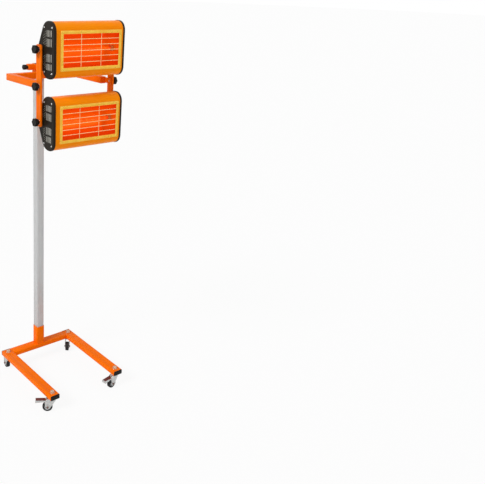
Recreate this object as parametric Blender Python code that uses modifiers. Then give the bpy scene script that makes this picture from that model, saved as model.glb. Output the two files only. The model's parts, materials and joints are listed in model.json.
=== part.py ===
import math

import bmesh
import bpy
from mathutils import Matrix, Vector

# Infrared paint curing lamp: two heads in a yoke on a wheeled stand.
# X runs across the lamp, -Y is forward and Z is up. All sizes are metres.
# It is drawn with 0 on the floor on the pole's axis, and moved last of all, so that the
# origin is on the floor under the middle of the whole.

# Fits
gap = 0.0003                # between faces that touch
slack = 0.0005              # between pieces that slide or turn
overrun = 0.002             # how far a cutter passes the face it cuts
weld = 0.001                # how deep joined shapes go into each other
merge_limit = 0.00002       # points closer than this are one point

# Base frame
tube_wide = 0.050
tube_high = 0.025
tube_wall = 0.002
tube_corner = 0.003
base_wide = 0.436
leg_long = 0.498
plug_flange = 0.003
plug_depth = 0.014
castor_inset = 0.028        # castor axis to the leg's end

# Castors
castor_high = 0.078         # floor to the underside of the tubes
wheel_wide = 0.050
wheel_thick = 0.018
wheel_tread = 0.011
tyre_deep = 0.009
tyre_round = 0.0025
hub_recess = 0.003
hub_stand = 0.001           # hub past the tyre's side
castor_trail = 0.023
axle_wide = 0.006
axle_head_wide = 0.011
axle_head_thick = 0.0035
fork_sheet = 0.002
fork_side_gap = 0.0015      # wheel's side to the fork's cheek
fork_top_thick = 0.003
fork_front = 0.017          # fork's top plate ahead of the king pin
fork_rear = 0.026           # and behind it
race_wide = 0.040
race_thick = 0.003
stem_wide = 0.010
stem_past = 0.002           # stem past its nut
washer_wide = 0.024
washer_thick = 0.0015
nut_wide = 0.018
nut_thick = 0.008
rivet_wide = 0.014
rivet_thick = 0.003
cheek_foot = 0.009          # fork's foot round the axle

# Brake pedal
pedal_pin_wide = 0.004
pedal_pin_behind = 0.031    # pin behind the king pin
pedal_pin_under = 0.010     # pin under the fork's top plate
pedal_reach = 0.076         # tip behind the king pin
pedal_top_rise = 0.004      # tread's top over the pin
pedal_thick = 0.0045
pedal_tread_long = 0.031
pedal_tread_wide = 0.026
pedal_shoe_drop = 0.007     # shoe's foot under the pin
pedal_shoe_long = 0.008
pedal_nose = 0.005
pedal_round = 0.0015

# Pole and socket
pole_side = 0.040
pole_wall = 0.002
pole_corner = 0.003
pole_long = 1.5114
pole_cap_thick = 0.003
pole_cap_depth = 0.015
socket_wall = 0.002
socket_long = 0.105
socket_bolt_wide = 0.008
socket_bolt_head = 0.013
socket_bolt_head_thick = 0.0055
socket_bolt_up_share = 0.6

# Carriage
sleeve_wall = 0.003
sleeve_above = 0.048        # sleeve's top over the yoke's middle
boss_side = 0.027
boss_long = 0.036
clamp_knob_wide = 0.028
clamp_knob_long = 0.016
clamp_collar_wide = 0.016
clamp_collar_long = 0.008

# Yoke
head_room = 0.0055          # between a head's cap and the bars' inner plane, where the lugs stand
yoke_side = 0.030
yoke_wall = 0.002
yoke_corner = 0.003
pivot_forward = 0.318       # pole's axis to the pivots
arm_short = 0.032           # arm's tube ends this far behind its pivot
lug_thick = 0.005           # flat lug that carries the pivot
lug_past = 0.012            # lug past the pivot
lug_corner = 0.006

# Side bars and their knobs
bar_long = 0.345
bar_wide = 0.040
bar_thick = 0.006
bar_corner = 0.009
pivot_apart = 0.153         # middle pivot to a head's pivot
knob_wide = 0.041
knob_thick = 0.016
knob_round = 0.002
knob_collar_wide = 0.021
knob_collar_long = 0.008
knob_lobes = 6
knob_lobe_share = 0.16
stud_wide = 0.008
stud_reach = 0.031          # head's stud past the bar's outer face
stud_end = 0.001            # middle stud past the lug's inner face
stud_fit = 0.0004           # round a stud, on the radius

# Heads
head_high = 0.233
head_front = 0.1035         # pivot to the caps' front
head_back = 0.030           # pivot to the sharp corner at the back
head_shoulder = 0.024       # pivot forward to the sharp upper corner
back_round = 0.016
shoulder_round = 0.045
front_round = 0.040
cap_deep = 0.010
cap_face = 0.003
cap_rim = 0.004
cap_edge = 0.003
cap_boss_wide = 0.030
cap_boss_inside = 0.015
slot_wide = 0.004
slot_pitch = 0.0105
slot_count = 4
slot_first = 0.046          # pivot forward to the first slot
slot_inner_long = 0.033
slot_inner_up = 0.0305
slot_outer_long = 0.027
slot_outer_up = 0.067
housing_inset = 0.0015
housing_wall = 0.002

# Front of a head
window_wide = 0.295
window_high = 0.145
panel_left = 0.0295         # front panel from the left cap to the window
panel_right = 0.0175        # and from the window to the right cap
guard_lap = 0.009           # guard's frame past the window
guard_inner = 0.005         # guard's frame inside the window
guard_sheet = 0.0015
guard_corner = 0.003
wire_wide = 0.0026
wire_weld_share = 0.35
wire_rows = 5
wire_row_pitch = 0.0233
wire_columns = 2
wire_column_pitch = 0.103

# Inside of a head
reflector_sheet = 0.001
reflector_flange = 0.006    # past the window
reflector_deep = 0.064
reflector_back_high = 0.058
reflector_round = 0.022
lamp_wide = 0.012
lamp_end_wide = 0.009
lamp_end_long = 0.012
lamp_taper = 0.002
lamp_behind = 0.040         # behind the reflector's mouth
holder_thick = 0.014
holder_wide = 0.022
holder_high = 0.026
holder_round = 0.004

# Cable gland on the back of a head
gland_wide = 0.016
gland_hex = 0.022
gland_hex_thick = 0.006
gland_dome_wide = 0.018
gland_dome_long = 0.010
gland_inside = 0.008
gland_bore = 0.007
gland_across = 0.100        # from the head's middle, towards -X
gland_along_share = 0.50

# Facets
corner_steps = 3
profile_steps = 6
pin_sides = 12
stud_sides = 16
hex_sides = 6
wheel_sides = 24
race_sides = 16
wire_sides = 6
lobe_points = 4
smooth_angle = math.radians(35)

# Colours: red, green, blue, roughness, metallic
orange_paint = (0.93, 0.16, 0.006, 0.42, 0.0)
bare_steel = (0.60, 0.61, 0.62, 0.34, 1.0)
zinc_plate = (0.66, 0.67, 0.68, 0.38, 1.0)
black_plastic = (0.012, 0.012, 0.013, 0.50, 0.0)
cap_plastic = (0.020, 0.018, 0.016, 0.46, 0.0)
dark_rubber = (0.030, 0.031, 0.032, 0.72, 0.0)
red_pedal = (0.16, 0.022, 0.018, 0.45, 0.0)
gold_reflector = (0.95, 0.62, 0.16, 0.20, 1.0)
pale_wire = (0.95, 0.72, 0.36, 0.30, 1.0)
white_ceramic = (0.82, 0.80, 0.76, 0.55, 0.0)
hot_quartz = (0.95, 0.14, 0.02, 0.15, 0.0)

# Places worked out from the sizes
base_top = castor_high + tube_high
leg_middle = base_wide / 2 - tube_wide / 2
leg_rear = tube_wide / 2
leg_front = leg_rear - leg_long
pole_foot = base_top + gap
pole_top = pole_foot + pole_long
sleeve_top = pole_top + gap + pole_cap_thick
yoke_middle = sleeve_top - sleeve_above
sleeve_bore = pole_side + 2 * slack
sleeve_side = sleeve_bore + 2 * sleeve_wall
yoke_back = sleeve_side / 2 + gap
head_wide = window_wide + panel_left + panel_right + 2 * cap_deep
window_shift = (panel_left - panel_right) / 2
yoke_wide = head_wide + 2 * head_room
bar_inner = yoke_wide / 2 + slack
bar_outer = bar_inner + bar_thick
cap_outer = head_wide / 2
cap_inner = cap_outer - cap_deep
housing_front = head_front - housing_inset
guard_back = housing_front + gap
flange_front = housing_front - housing_wall - gap
mouth_wide = window_wide - 2 * guard_inner
mouth_high = window_high - 2 * guard_inner

clear_names = [item.name for item in bpy.data.objects]
for item_name in clear_names:
    bpy.data.objects.remove(bpy.data.objects[item_name], do_unlink=True)


def new_collection(name):
    made = bpy.data.collections.new(name)
    bpy.context.scene.collection.children.link(made)
    return made


pieces = new_collection('infrared_curing_lamp')
cutters = new_collection('cutters')
paints = {}

# A shape is drawn across the first two axes of a row and runs along the third.
turn_to = {
    'X': Matrix(((0, 0, 1, 0), (1, 0, 0, 0), (0, 1, 0, 0), (0, 0, 0, 1))),
    'Y': Matrix(((0, 1, 0, 0), (0, 0, 1, 0), (1, 0, 0, 0), (0, 0, 0, 1))),
    'Z': Matrix.Identity(4),
}


def paint(name, values):
    if name in paints:
        return paints[name]
    made = bpy.data.materials.new(name)
    made.use_nodes = True
    shader = made.node_tree.nodes['Principled BSDF']
    shader.inputs['Base Color'].default_value = (values[0], values[1], values[2], 1)
    shader.inputs['Roughness'].default_value = values[3]
    shader.inputs['Metallic'].default_value = values[4]
    made.diffuse_color = (values[0], values[1], values[2], 1)
    paints[name] = made
    return made


def clean(mesh):
    work = bmesh.new()
    work.from_mesh(mesh)
    bmesh.ops.remove_doubles(work, verts=work.verts, dist=merge_limit)
    bmesh.ops.dissolve_limit(work, angle_limit=math.radians(0.1), verts=work.verts, edges=work.edges)
    bmesh.ops.recalc_face_normals(work, faces=work.faces)
    work.to_mesh(mesh)
    work.free()
    return mesh


def evaluated_mesh(item):
    bpy.context.view_layer.update()
    graph = bpy.context.evaluated_depsgraph_get()
    return bpy.data.meshes.new_from_object(item.evaluated_get(graph))


def prism(loops, near, far, axis):
    # A flat outline with holes, run along an axis from near to far.
    curve = bpy.data.curves.new('outline', 'CURVE')
    curve.dimensions = '2D'
    curve.fill_mode = 'BOTH'
    curve.extrude = (far - near) / 2
    for loop in loops:
        spline = curve.splines.new('POLY')
        spline.points.add(len(loop) - 1)
        for spot, pair in zip(spline.points, loop):
            spot.co = (pair[0], pair[1], 0, 1)
        spline.use_cyclic_u = True
    holder = bpy.data.objects.new('outline', curve)
    pieces.objects.link(holder)
    mesh = evaluated_mesh(holder)
    bpy.data.objects.remove(holder, do_unlink=True)
    bpy.data.curves.remove(curve)
    clean(mesh)
    mesh.transform(turn_to[axis] @ Matrix.Translation((0, 0, (near + far) / 2)))
    return mesh


def rod(radius, near, far, axis, sides):
    work = bmesh.new()
    bmesh.ops.create_cone(work, cap_ends=True, segments=sides, radius1=radius,
                          radius2=radius, depth=far - near)
    mesh = bpy.data.meshes.new('rod')
    work.to_mesh(mesh)
    work.free()
    mesh.transform(turn_to[axis] @ Matrix.Translation((0, 0, (near + far) / 2)))
    return mesh


def block(low, high):
    size = [top - bottom for bottom, top in zip(low, high)]
    middle = [(top + bottom) / 2 for bottom, top in zip(low, high)]
    work = bmesh.new()
    scale = Matrix.Diagonal((size[0], size[1], size[2], 1))
    bmesh.ops.create_cube(work, size=1, matrix=Matrix.Translation(middle) @ scale)
    mesh = bpy.data.meshes.new('block')
    work.to_mesh(mesh)
    work.free()
    return mesh


def turned(profile, sides, axis, closed):
    # The profile runs down its outer side. It is spun about the axis.
    mesh = bpy.data.meshes.new('profile')
    spots = [(radius, 0, along) for radius, along in profile]
    links = [(step, step + 1) for step in range(len(spots) - 1)]
    if closed:
        links.append((len(spots) - 1, 0))
    mesh.from_pydata(spots, links, [])
    holder = bpy.data.objects.new('profile', mesh)
    pieces.objects.link(holder)
    spin = holder.modifiers.new('spin', 'SCREW')
    spin.axis = 'Z'
    spin.steps = sides
    spin.render_steps = sides
    spin.use_merge_vertices = True
    spin.merge_threshold = merge_limit
    spin.use_smooth_shade = True
    made = evaluated_mesh(holder)
    bpy.data.objects.remove(holder, do_unlink=True)
    bpy.data.meshes.remove(mesh)
    clean_turned(made)
    made.transform(turn_to[axis])
    return made


def clean_turned(mesh):
    work = bmesh.new()
    work.from_mesh(mesh)
    bmesh.ops.remove_doubles(work, verts=work.verts, dist=merge_limit)
    bmesh.ops.recalc_face_normals(work, faces=work.faces)
    work.to_mesh(mesh)
    work.free()


def shade(mesh):
    mesh.shade_smooth()
    mesh.set_sharp_from_angle(angle=smooth_angle)


def moved(mesh, offset):
    mesh.transform(Matrix.Translation(offset))
    return mesh


def joint(name, place, parent=None, heading=0):
    # An empty on a joint's axis, which carries the pieces that move about it.
    made = bpy.data.objects.new(name, None)
    made.empty_display_size = knob_wide
    pieces.objects.link(made)
    made.parent = parent
    made.location = place
    made.rotation_euler = (0, 0, heading)
    return made


stand = joint('stand', (0, 0, 0))


def piece(name, mesh, colour_name, colour, parent=stand, place=(0, 0, 0), turn=(0, 0, 0)):
    made = bpy.data.objects.new(name, mesh)
    pieces.objects.link(made)
    made.parent = parent
    made.location = place
    made.rotation_euler = turn
    if not mesh.materials:
        mesh.materials.append(paint(colour_name, colour))
    return made


def tool(mesh, parent):
    made = bpy.data.objects.new('cutter', mesh)
    cutters.objects.link(made)
    made.parent = parent
    made.hide_render = True
    made.display_type = 'WIRE'
    return made


def combine(item, mesh, operation):
    change = item.modifiers.new(operation.lower(), 'BOOLEAN')
    change.operation = operation
    change.solver = 'EXACT'
    change.object = tool(mesh, item.parent)


def cut(item, *meshes):
    for mesh in meshes:
        combine(item, mesh, 'DIFFERENCE')


def join(item, *meshes):
    for mesh in meshes:
        combine(item, mesh, 'UNION')


def shaped(mesh, joined=(), removed=()):
    # One mesh made of a first shape, what is joined to it and what is cut out.
    holder = bpy.data.objects.new('shape', mesh)
    pieces.objects.link(holder)
    join(holder, *joined)
    cut(holder, *removed)
    tools = [change.object for change in holder.modifiers]
    made = evaluated_mesh(holder)
    for item in tools + [holder]:
        bpy.data.objects.remove(item, do_unlink=True)
    shade(made)
    return made


def rounded(points, radii, steps):
    # A polygon with an arc of its own radius at each corner.
    out = []
    count = len(points)
    for index in range(count):
        spot = Vector(points[index])
        back = Vector(points[index - 1]) - spot
        ahead = Vector(points[(index + 1) % count]) - spot
        if radii[index] <= 0:
            out.append((spot.x, spot.y))
            continue
        half = back.angle(ahead) / 2
        run = min(radii[index] / math.tan(half), back.length / 2, ahead.length / 2)
        radius = run * math.tan(half)
        inward = (back.normalized() + ahead.normalized()).normalized()
        middle = spot + inward * (radius / math.sin(half))
        start = spot + back.normalized() * run - middle
        sweep = start.angle_signed(spot + ahead.normalized() * run - middle)
        for step in range(steps + 1):
            arm = start.copy()
            arm.rotate(Matrix.Rotation(-sweep * step / steps, 2))
            out.append((middle.x + arm.x, middle.y + arm.y))
    return out


def inset(points, depth):
    # The same polygon with every side moved inwards.
    count = len(points)
    area = sum(points[i - 1][0] * points[i][1] - points[i][0] * points[i - 1][1] for i in range(count))
    side = 1 if area > 0 else -1
    lines = []
    for index in range(count):
        first = Vector(points[index])
        along = (Vector(points[(index + 1) % count]) - first).normalized()
        inward = Vector((-along.y, along.x)) * side
        lines.append((first + inward * depth, along))
    out = []
    for index in range(count):
        first, along = lines[index - 1]
        second, across = lines[index]
        turn = along.x * across.y - along.y * across.x
        reach = ((second.x - first.x) * across.y - (second.y - first.y) * across.x) / turn
        spot = first + along * reach
        out.append((spot.x, spot.y))
    return out


def rectangle(wide, high, corner, middle=(0, 0)):
    half_wide = wide / 2
    half_high = high / 2
    low = (middle[0] - half_wide, middle[1] - half_high)
    top = (middle[0] + half_wide, middle[1] + half_high)
    placed = [low, (top[0], low[1]), top, (low[0], top[1])]
    if corner <= 0:
        return placed
    return rounded(placed, [corner] * 4, corner_steps)


def box_tube(wide, high, wall, corner, near, far, axis, middle=(0, 0)):
    inner_corner = max(corner - wall, 0)
    outer = rectangle(wide, high, corner, middle)
    inner = rectangle(wide - 2 * wall, high - 2 * wall, inner_corner, middle)
    return prism([outer, inner], near, far, axis)


# Base frame
def end_plug(near_face, direction):
    # A flange on the tube's end and a block inside the tube.
    flange = sorted((near_face, near_face - direction * plug_flange))
    seat = near_face - direction * plug_flange
    insert = sorted((seat + direction * weld, seat - direction * plug_depth))
    outer = rectangle(tube_high, tube_wide, tube_corner)
    room = tube_wall + gap
    inner = rectangle(tube_high - 2 * room, tube_wide - 2 * room, tube_corner - tube_wall)
    return shaped(prism([outer], flange[0], flange[1], 'Y'), [prism([inner], insert[0], insert[1], 'Y')])


leg_tube_front = leg_front + plug_flange + gap
leg_tube_rear = leg_rear - plug_flange - gap
castor_front = leg_front + castor_inset
castor_rear = leg_rear - castor_inset
tube_middle = castor_high + tube_high / 2
front_plug = end_plug(leg_front, -1)
rear_plug = end_plug(leg_rear, 1)

for side_name, side in (('left', -1), ('right', 1)):
    across = side * leg_middle
    place = (across, 0, tube_middle)
    leg_mesh = box_tube(tube_high, tube_wide, tube_wall, tube_corner, leg_tube_front, leg_tube_rear, 'Y')
    leg = piece('base_leg_' + side_name, leg_mesh, 'orange paint', orange_paint, stand, place)
    for castor_y in (castor_front, castor_rear):
        hole = rod(stem_wide / 2 + slack, castor_high - overrun, base_top + overrun, 'Z', pin_sides)
        cut(leg, moved(hole, (across, castor_y, 0)))
    for end_name, plug in (('front', front_plug), ('rear', rear_plug)):
        plug_name = 'leg_plug_' + end_name + '_' + side_name
        piece(plug_name, plug, 'black plastic', black_plastic, stand, place)

cross_half = base_wide / 2 - tube_wide - gap
cross_mesh = box_tube(tube_wide, tube_high, tube_wall, tube_corner, -cross_half, cross_half, 'X')
piece('base_cross_tube', cross_mesh, 'orange paint', orange_paint, stand, (0, 0, tube_middle))

# Socket, pole and what holds it
socket_bore = pole_side + 2 * slack
socket_side = socket_bore + 2 * socket_wall
socket_mesh = box_tube(socket_side, socket_side, socket_wall, pole_corner + socket_wall, base_top + gap,
                       base_top + socket_long, 'Z')
socket = piece('pole_socket', socket_mesh, 'orange paint', orange_paint)
bolt_up = base_top + socket_long * socket_bolt_up_share
bolt_radius = socket_bolt_wide / 2
bolt_hole = rod(bolt_radius + stud_fit, pole_side / 2, socket_side / 2 + overrun, 'Y', stud_sides)
cut(socket, moved(bolt_hole, (0, 0, bolt_up)))

bolt_head_near = socket_side / 2 + gap
bolt_shank = rod(bolt_radius, pole_side / 2 + gap, bolt_head_near + weld, 'Y', stud_sides)
bolt_head = rod(socket_bolt_head / 2 / math.cos(math.pi / 6), bolt_head_near,
                bolt_head_near + socket_bolt_head_thick, 'Y', hex_sides)
piece('socket_bolt', shaped(bolt_head, [bolt_shank]), 'zinc plate', zinc_plate, stand, (0, 0, bolt_up))

pole_mesh = box_tube(pole_side, pole_side, pole_wall, pole_corner, pole_foot, pole_top, 'Z')
piece('pole', pole_mesh, 'bare steel', bare_steel)

cap_low = pole_top + gap
cap_lid = prism([rectangle(pole_side, pole_side, pole_corner)], cap_low, cap_low + pole_cap_thick, 'Z')
cap_fit = pole_side - 2 * pole_wall - 2 * gap
cap_insert_shape = rectangle(cap_fit, cap_fit, pole_corner - pole_wall)
cap_insert = prism([cap_insert_shape], cap_low - pole_cap_depth, cap_low + weld, 'Z')
piece('pole_top_cap', shaped(cap_lid, [cap_insert]), 'black plastic', black_plastic)

# Castors, drawn with the king pin on Z, the floor at 0 and the wheel behind on +X
race_top = castor_high - gap
race_foot = race_top - race_thick
fork_race_top = race_foot - slack
fork_plate_top = fork_race_top - race_thick
fork_plate_foot = fork_plate_top - fork_top_thick
wheel_radius = wheel_wide / 2
cheek_in = wheel_thick / 2 + fork_side_gap
cheek_out = cheek_in + fork_sheet
pin_radius = pedal_pin_wide / 2
pin_x = pedal_pin_behind
pin_z = fork_plate_foot - pedal_pin_under + fork_top_thick


def castor_stem():
    stem = stem_wide / 2
    nut_foot = base_top + gap + washer_thick
    stem_top = nut_foot + nut_thick + stem_past
    rivet_top = fork_plate_foot - gap
    rivet_foot = rivet_top - rivet_thick
    profile = [
        (0, stem_top), (stem, stem_top), (stem, nut_foot), (washer_wide / 2, nut_foot),
        (washer_wide / 2, base_top + gap), (stem, base_top + gap), (stem, race_top),
        (race_wide / 2, race_top), (race_wide / 2, race_foot), (stem, race_foot), (stem, rivet_top),
        (rivet_wide / 2, rivet_top), (rivet_wide / 2, rivet_foot), (0, rivet_foot),
    ]
    nut_radius = nut_wide / 2 / math.cos(math.pi / 6)
    nut = rod(nut_radius, nut_foot - washer_thick / 2, nut_foot + nut_thick, 'Z', hex_sides)
    return shaped(turned(profile, pin_sides, 'Z', False), [nut])


def castor_fork():
    plate = block((-fork_front, -cheek_out, fork_plate_foot), (fork_rear, cheek_out, fork_plate_top))
    race = rod(race_wide / 2, fork_plate_top - weld, fork_race_top, 'Z', race_sides)
    pin_reach = pin_radius + cheek_foot / 2
    outline = [
        (-fork_front, fork_plate_top - weld), (-fork_front, fork_plate_foot - fork_top_thick),
        (castor_trail - cheek_foot, wheel_radius - cheek_foot),
        (castor_trail + cheek_foot, wheel_radius - cheek_foot),
        (pin_x + pin_reach, pin_z - pin_reach), (pin_x + pin_reach, pin_z + pin_radius),
        (fork_rear, fork_plate_top - weld),
    ]
    radii = [0, fork_top_thick, cheek_foot, cheek_foot, pin_reach, pin_reach, 0]
    shape = [(up, along) for along, up in rounded(outline, radii, corner_steps)]
    cheeks = [prism([shape], cheek_in, cheek_out, 'Y'), prism([shape], -cheek_out, -cheek_in, 'Y')]
    pin = rod(pin_radius, -cheek_in - fork_sheet / 2, cheek_in + fork_sheet / 2, 'Y', pin_sides)
    king_radius = stem_wide / 2 + slack
    king_hole = rod(king_radius, fork_plate_foot - overrun, fork_race_top + overrun, 'Z', pin_sides)
    axle_hole = rod(axle_wide / 2 + gap, -cheek_out - overrun, cheek_out + overrun, 'Y', pin_sides)
    removed = [king_hole, moved(axle_hole, (castor_trail, 0, wheel_radius))]
    return shaped(plate, [race] + cheeks, removed), moved(pin, (pin_x, 0, pin_z))


def castor_wheel():
    side = wheel_thick / 2
    tread = wheel_tread / 2
    shoulder = wheel_radius - tyre_round
    rim = wheel_radius - tyre_deep
    bore = axle_wide / 2 + gap
    half = [(wheel_radius, tread), (shoulder, side), (rim, side), (rim - weld, side - hub_recess),
            (bore, side + hub_stand)]
    low = [(radius, -along) for radius, along in half]
    profile = low + half[::-1]
    return turned(profile, wheel_sides, 'Y', True)


def castor_axle():
    shank = axle_wide / 2
    head = axle_head_wide / 2
    seat = cheek_out + gap
    end = seat + axle_head_thick
    profile = [(0, end), (head, end), (head, seat), (shank, seat),
               (shank, -seat), (head, -seat), (head, -end), (0, -end)]
    made = turned(profile, pin_sides, 'Y', False)
    shade(made)
    return made


def brake_pedal():
    # Drawn with its pin on Y through 0, the tip out on +X.
    lever_half = cheek_in - slack
    tip = pedal_reach - pin_x
    under = pedal_top_rise - pedal_thick
    lever = [
        (-pedal_nose, pedal_top_rise), (-pedal_nose, -pedal_shoe_drop),
        (-pedal_nose + pedal_shoe_long, -pedal_shoe_drop), (pedal_nose + pedal_thick, under),
        (tip, under), (tip, pedal_top_rise),
    ]
    radii = [pedal_thick, pedal_round, pedal_round, pedal_thick, pedal_round, pedal_round]
    shape = [(up, along) for along, up in rounded(lever, radii, corner_steps)]
    body = prism([shape], -lever_half, lever_half, 'Y')
    tread_middle = tip + pedal_round - pedal_tread_long / 2
    tread_shape = rectangle(pedal_tread_long, pedal_tread_wide, pedal_thick, (tread_middle, 0))
    tread = prism([tread_shape], under - pedal_round, pedal_top_rise + pedal_round, 'Z')
    bore = rod(pin_radius + stud_fit, -lever_half - overrun, lever_half + overrun, 'Y', pin_sides)
    return shaped(body, [tread], [bore])


stem_mesh = castor_stem()
fork_plain, fork_pin = castor_fork()
fork_braked = shaped(fork_plain.copy(), [fork_pin])
wheel_mesh = castor_wheel()
shade(wheel_mesh)
axle_mesh = castor_axle()
pedal_mesh = brake_pedal()

castors = {
    'front_left': (-leg_middle, castor_front, math.radians(148), True),
    'front_right': (leg_middle, castor_front, math.radians(191), True),
    'rear_left': (-leg_middle, castor_rear, math.radians(83), False),
    'rear_right': (leg_middle, castor_rear, math.radians(230), False),
}
for spot_name, (across, along, heading, braked) in castors.items():
    piece('castor_stem_' + spot_name, stem_mesh, 'zinc plate', zinc_plate, stand, (across, along, 0))
    swivel = joint('swivel_' + spot_name, (across, along, 0), stand, heading)
    fork_mesh = fork_braked if braked else fork_plain
    piece('castor_fork_' + spot_name, fork_mesh, 'zinc plate', zinc_plate, swivel)
    axle_place = (castor_trail, 0, wheel_radius)
    piece('castor_axle_' + spot_name, axle_mesh, 'zinc plate', zinc_plate, swivel, axle_place)
    roll = joint('roll_' + spot_name, axle_place, swivel)
    piece('castor_wheel_' + spot_name, wheel_mesh, 'dark rubber', dark_rubber, roll)
    if braked:
        hinge = joint('brake_' + spot_name, (pin_x, 0, pin_z), swivel)
        piece('brake_pedal_' + spot_name, pedal_mesh, 'red pedal', red_pedal, hinge)

# Carriage: sleeve with its clamp boss, cross piece and arms
carriage = joint('carriage', (0, 0, yoke_middle), stand)
sleeve_mesh = box_tube(sleeve_side, sleeve_side, sleeve_wall, pole_corner + sleeve_wall, -yoke_side / 2,
                       sleeve_above, 'Z')
sleeve = piece('carriage_sleeve', sleeve_mesh, 'orange paint', orange_paint, carriage)
boss_up = sleeve_above - boss_side / 2
boss_out = sleeve_side / 2 + boss_long
boss = prism([rectangle(boss_side, boss_side, tube_corner, (0, boss_up))], -boss_out,
             -sleeve_side / 2 + sleeve_wall / 2, 'X')
join(sleeve, boss)
clamp_hole = rod(stud_wide / 2 + stud_fit, -boss_out - overrun, -pole_side / 2, 'X', stud_sides)
cut(sleeve, moved(clamp_hole, (0, 0, boss_up)))

arm_end = -(pivot_forward - arm_short)
arm_across = yoke_wide / 2 - yoke_side / 2
plate_half = yoke_side / 2 - yoke_wall / 2
lug_in = yoke_wide / 2 - lug_thick
lug_long = lug_past + arm_short + yoke_wall
lug_middle = arm_end + yoke_wall - lug_long / 2
for side_name, side in (('left', -1), ('right', 1)):
    middle = (0, side * arm_across)
    arm_mesh = box_tube(yoke_side, yoke_side, yoke_wall, yoke_corner, arm_end, -yoke_back, 'Y', middle)
    arm = piece('yoke_arm_' + side_name, arm_mesh, 'orange paint', orange_paint, carriage)
    end_plate = block((side * arm_across - plate_half, arm_end, -plate_half),
                      (side * arm_across + plate_half, arm_end + yoke_wall, plate_half))
    ends = sorted((side * lug_in, side * yoke_wide / 2))
    lug_shape = rectangle(lug_long, yoke_side - 2 * yoke_corner, lug_corner, (lug_middle, 0))
    join(arm, end_plate, prism([lug_shape], ends[0], ends[1], 'X'))
    stud_hole = rod(stud_wide / 2 + stud_fit, ends[0] - overrun, ends[1] + overrun, 'X', stud_sides)
    cut(arm, moved(stud_hole, (0, -pivot_forward, 0)))
cross_reach = yoke_wide / 2 - yoke_side - gap
yoke_cross = box_tube(yoke_side, yoke_side, yoke_wall, yoke_corner, -cross_reach, cross_reach, 'X',
                      (-yoke_back - yoke_side / 2, 0))
piece('yoke_cross_tube', yoke_cross, 'orange paint', orange_paint, carriage)


# Knobs, drawn with the collar's seat at 0, the head out on +X and the stud on -X
def lobed_outline(radius):
    out = []
    count = knob_lobes * lobe_points
    for step in range(count):
        turn = 2 * math.pi * step / count
        wave = (1 - math.cos(knob_lobes * turn)) / 2
        reach = radius * (1 - knob_lobe_share * wave)
        out.append((reach * math.cos(turn), reach * math.sin(turn)))
    return out


def knob(head_wide_here, head_long, collar_wide, collar_long, stud_long):
    head = prism([lobed_outline(head_wide_here / 2)], collar_long, collar_long + head_long, 'X')
    holder = bpy.data.objects.new('knob', head)
    pieces.objects.link(holder)
    edge = holder.modifiers.new('edge', 'BEVEL')
    edge.width = knob_round
    edge.segments = 1
    edge.limit_method = 'ANGLE'
    edge.angle_limit = math.radians(60)
    soft = evaluated_mesh(holder)
    bpy.data.objects.remove(holder, do_unlink=True)
    seat = collar_long + weld
    profile = [(0, seat), (collar_wide / 2, seat), (collar_wide / 2, 0), (stud_wide / 2, 0),
               (stud_wide / 2, -stud_long), (0, -stud_long)]
    return shaped(soft, [turned(profile, stud_sides, 'X', False)])


clamp_seat = -boss_out - gap
clamp_axis = joint('clamp', (clamp_seat, 0, boss_up), carriage)
clamp_stud = boss_out + gap - pole_side / 2 - gap
clamp_mesh = knob(clamp_knob_wide, clamp_knob_long, clamp_collar_wide, clamp_collar_long, clamp_stud)
piece('clamp_knob', clamp_mesh, 'black plastic', black_plastic, clamp_axis, (0, 0, 0), (0, 0, math.pi))

# Side bars on the middle pivots
tilt = joint('tilt', (0, -pivot_forward, 0), carriage)
bar_shape = rectangle(bar_wide, bar_long, bar_corner)
for side_name, side in (('left', -1), ('right', 1)):
    ends = sorted((side * bar_inner, side * bar_outer))
    bar_mesh = prism([bar_shape], ends[0], ends[1], 'X')
    bar = piece('side_bar_' + side_name, bar_mesh, 'orange paint', orange_paint, tilt)
    for up in (-pivot_apart, 0, pivot_apart):
        hole = rod(stud_wide / 2 + stud_fit, ends[0] - overrun, ends[1] + overrun, 'X', stud_sides)
        cut(bar, moved(hole, (0, 0, up)))

knob_mesh = knob(knob_wide, knob_thick, knob_collar_wide, knob_collar_long, stud_reach)
middle_reach = bar_outer + gap - lug_in + stud_end
middle_knob_mesh = knob(knob_wide, knob_thick, knob_collar_wide, knob_collar_long, middle_reach)


def add_knobs(level, parent, shape):
    for side_name, side in (('left', -1), ('right', 1)):
        label = level + '_' + side_name
        axis = joint('turn_' + label, (side * (bar_outer + gap), 0, 0), parent)
        turn = (0, 0, 0 if side > 0 else math.pi)
        piece('knob_' + label, shape, 'black plastic', black_plastic, axis, (0, 0, 0), turn)


add_knobs('middle', tilt, middle_knob_mesh)

# Heads, drawn with the pivot at 0, outlines as (y, z) with the front on -Y
head_half = head_high / 2
head_corners = [(head_back, 0), (-head_shoulder, head_half), (-head_front, head_half),
                (-head_front, -head_half), (-head_shoulder, -head_half)]
head_radii = [back_round, shoulder_round, front_round, front_round, shoulder_round]


def head_outline(depth):
    corners = inset(head_corners, depth) if depth > 0 else head_corners
    return rounded(corners, [radius - depth for radius in head_radii], profile_steps)


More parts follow.
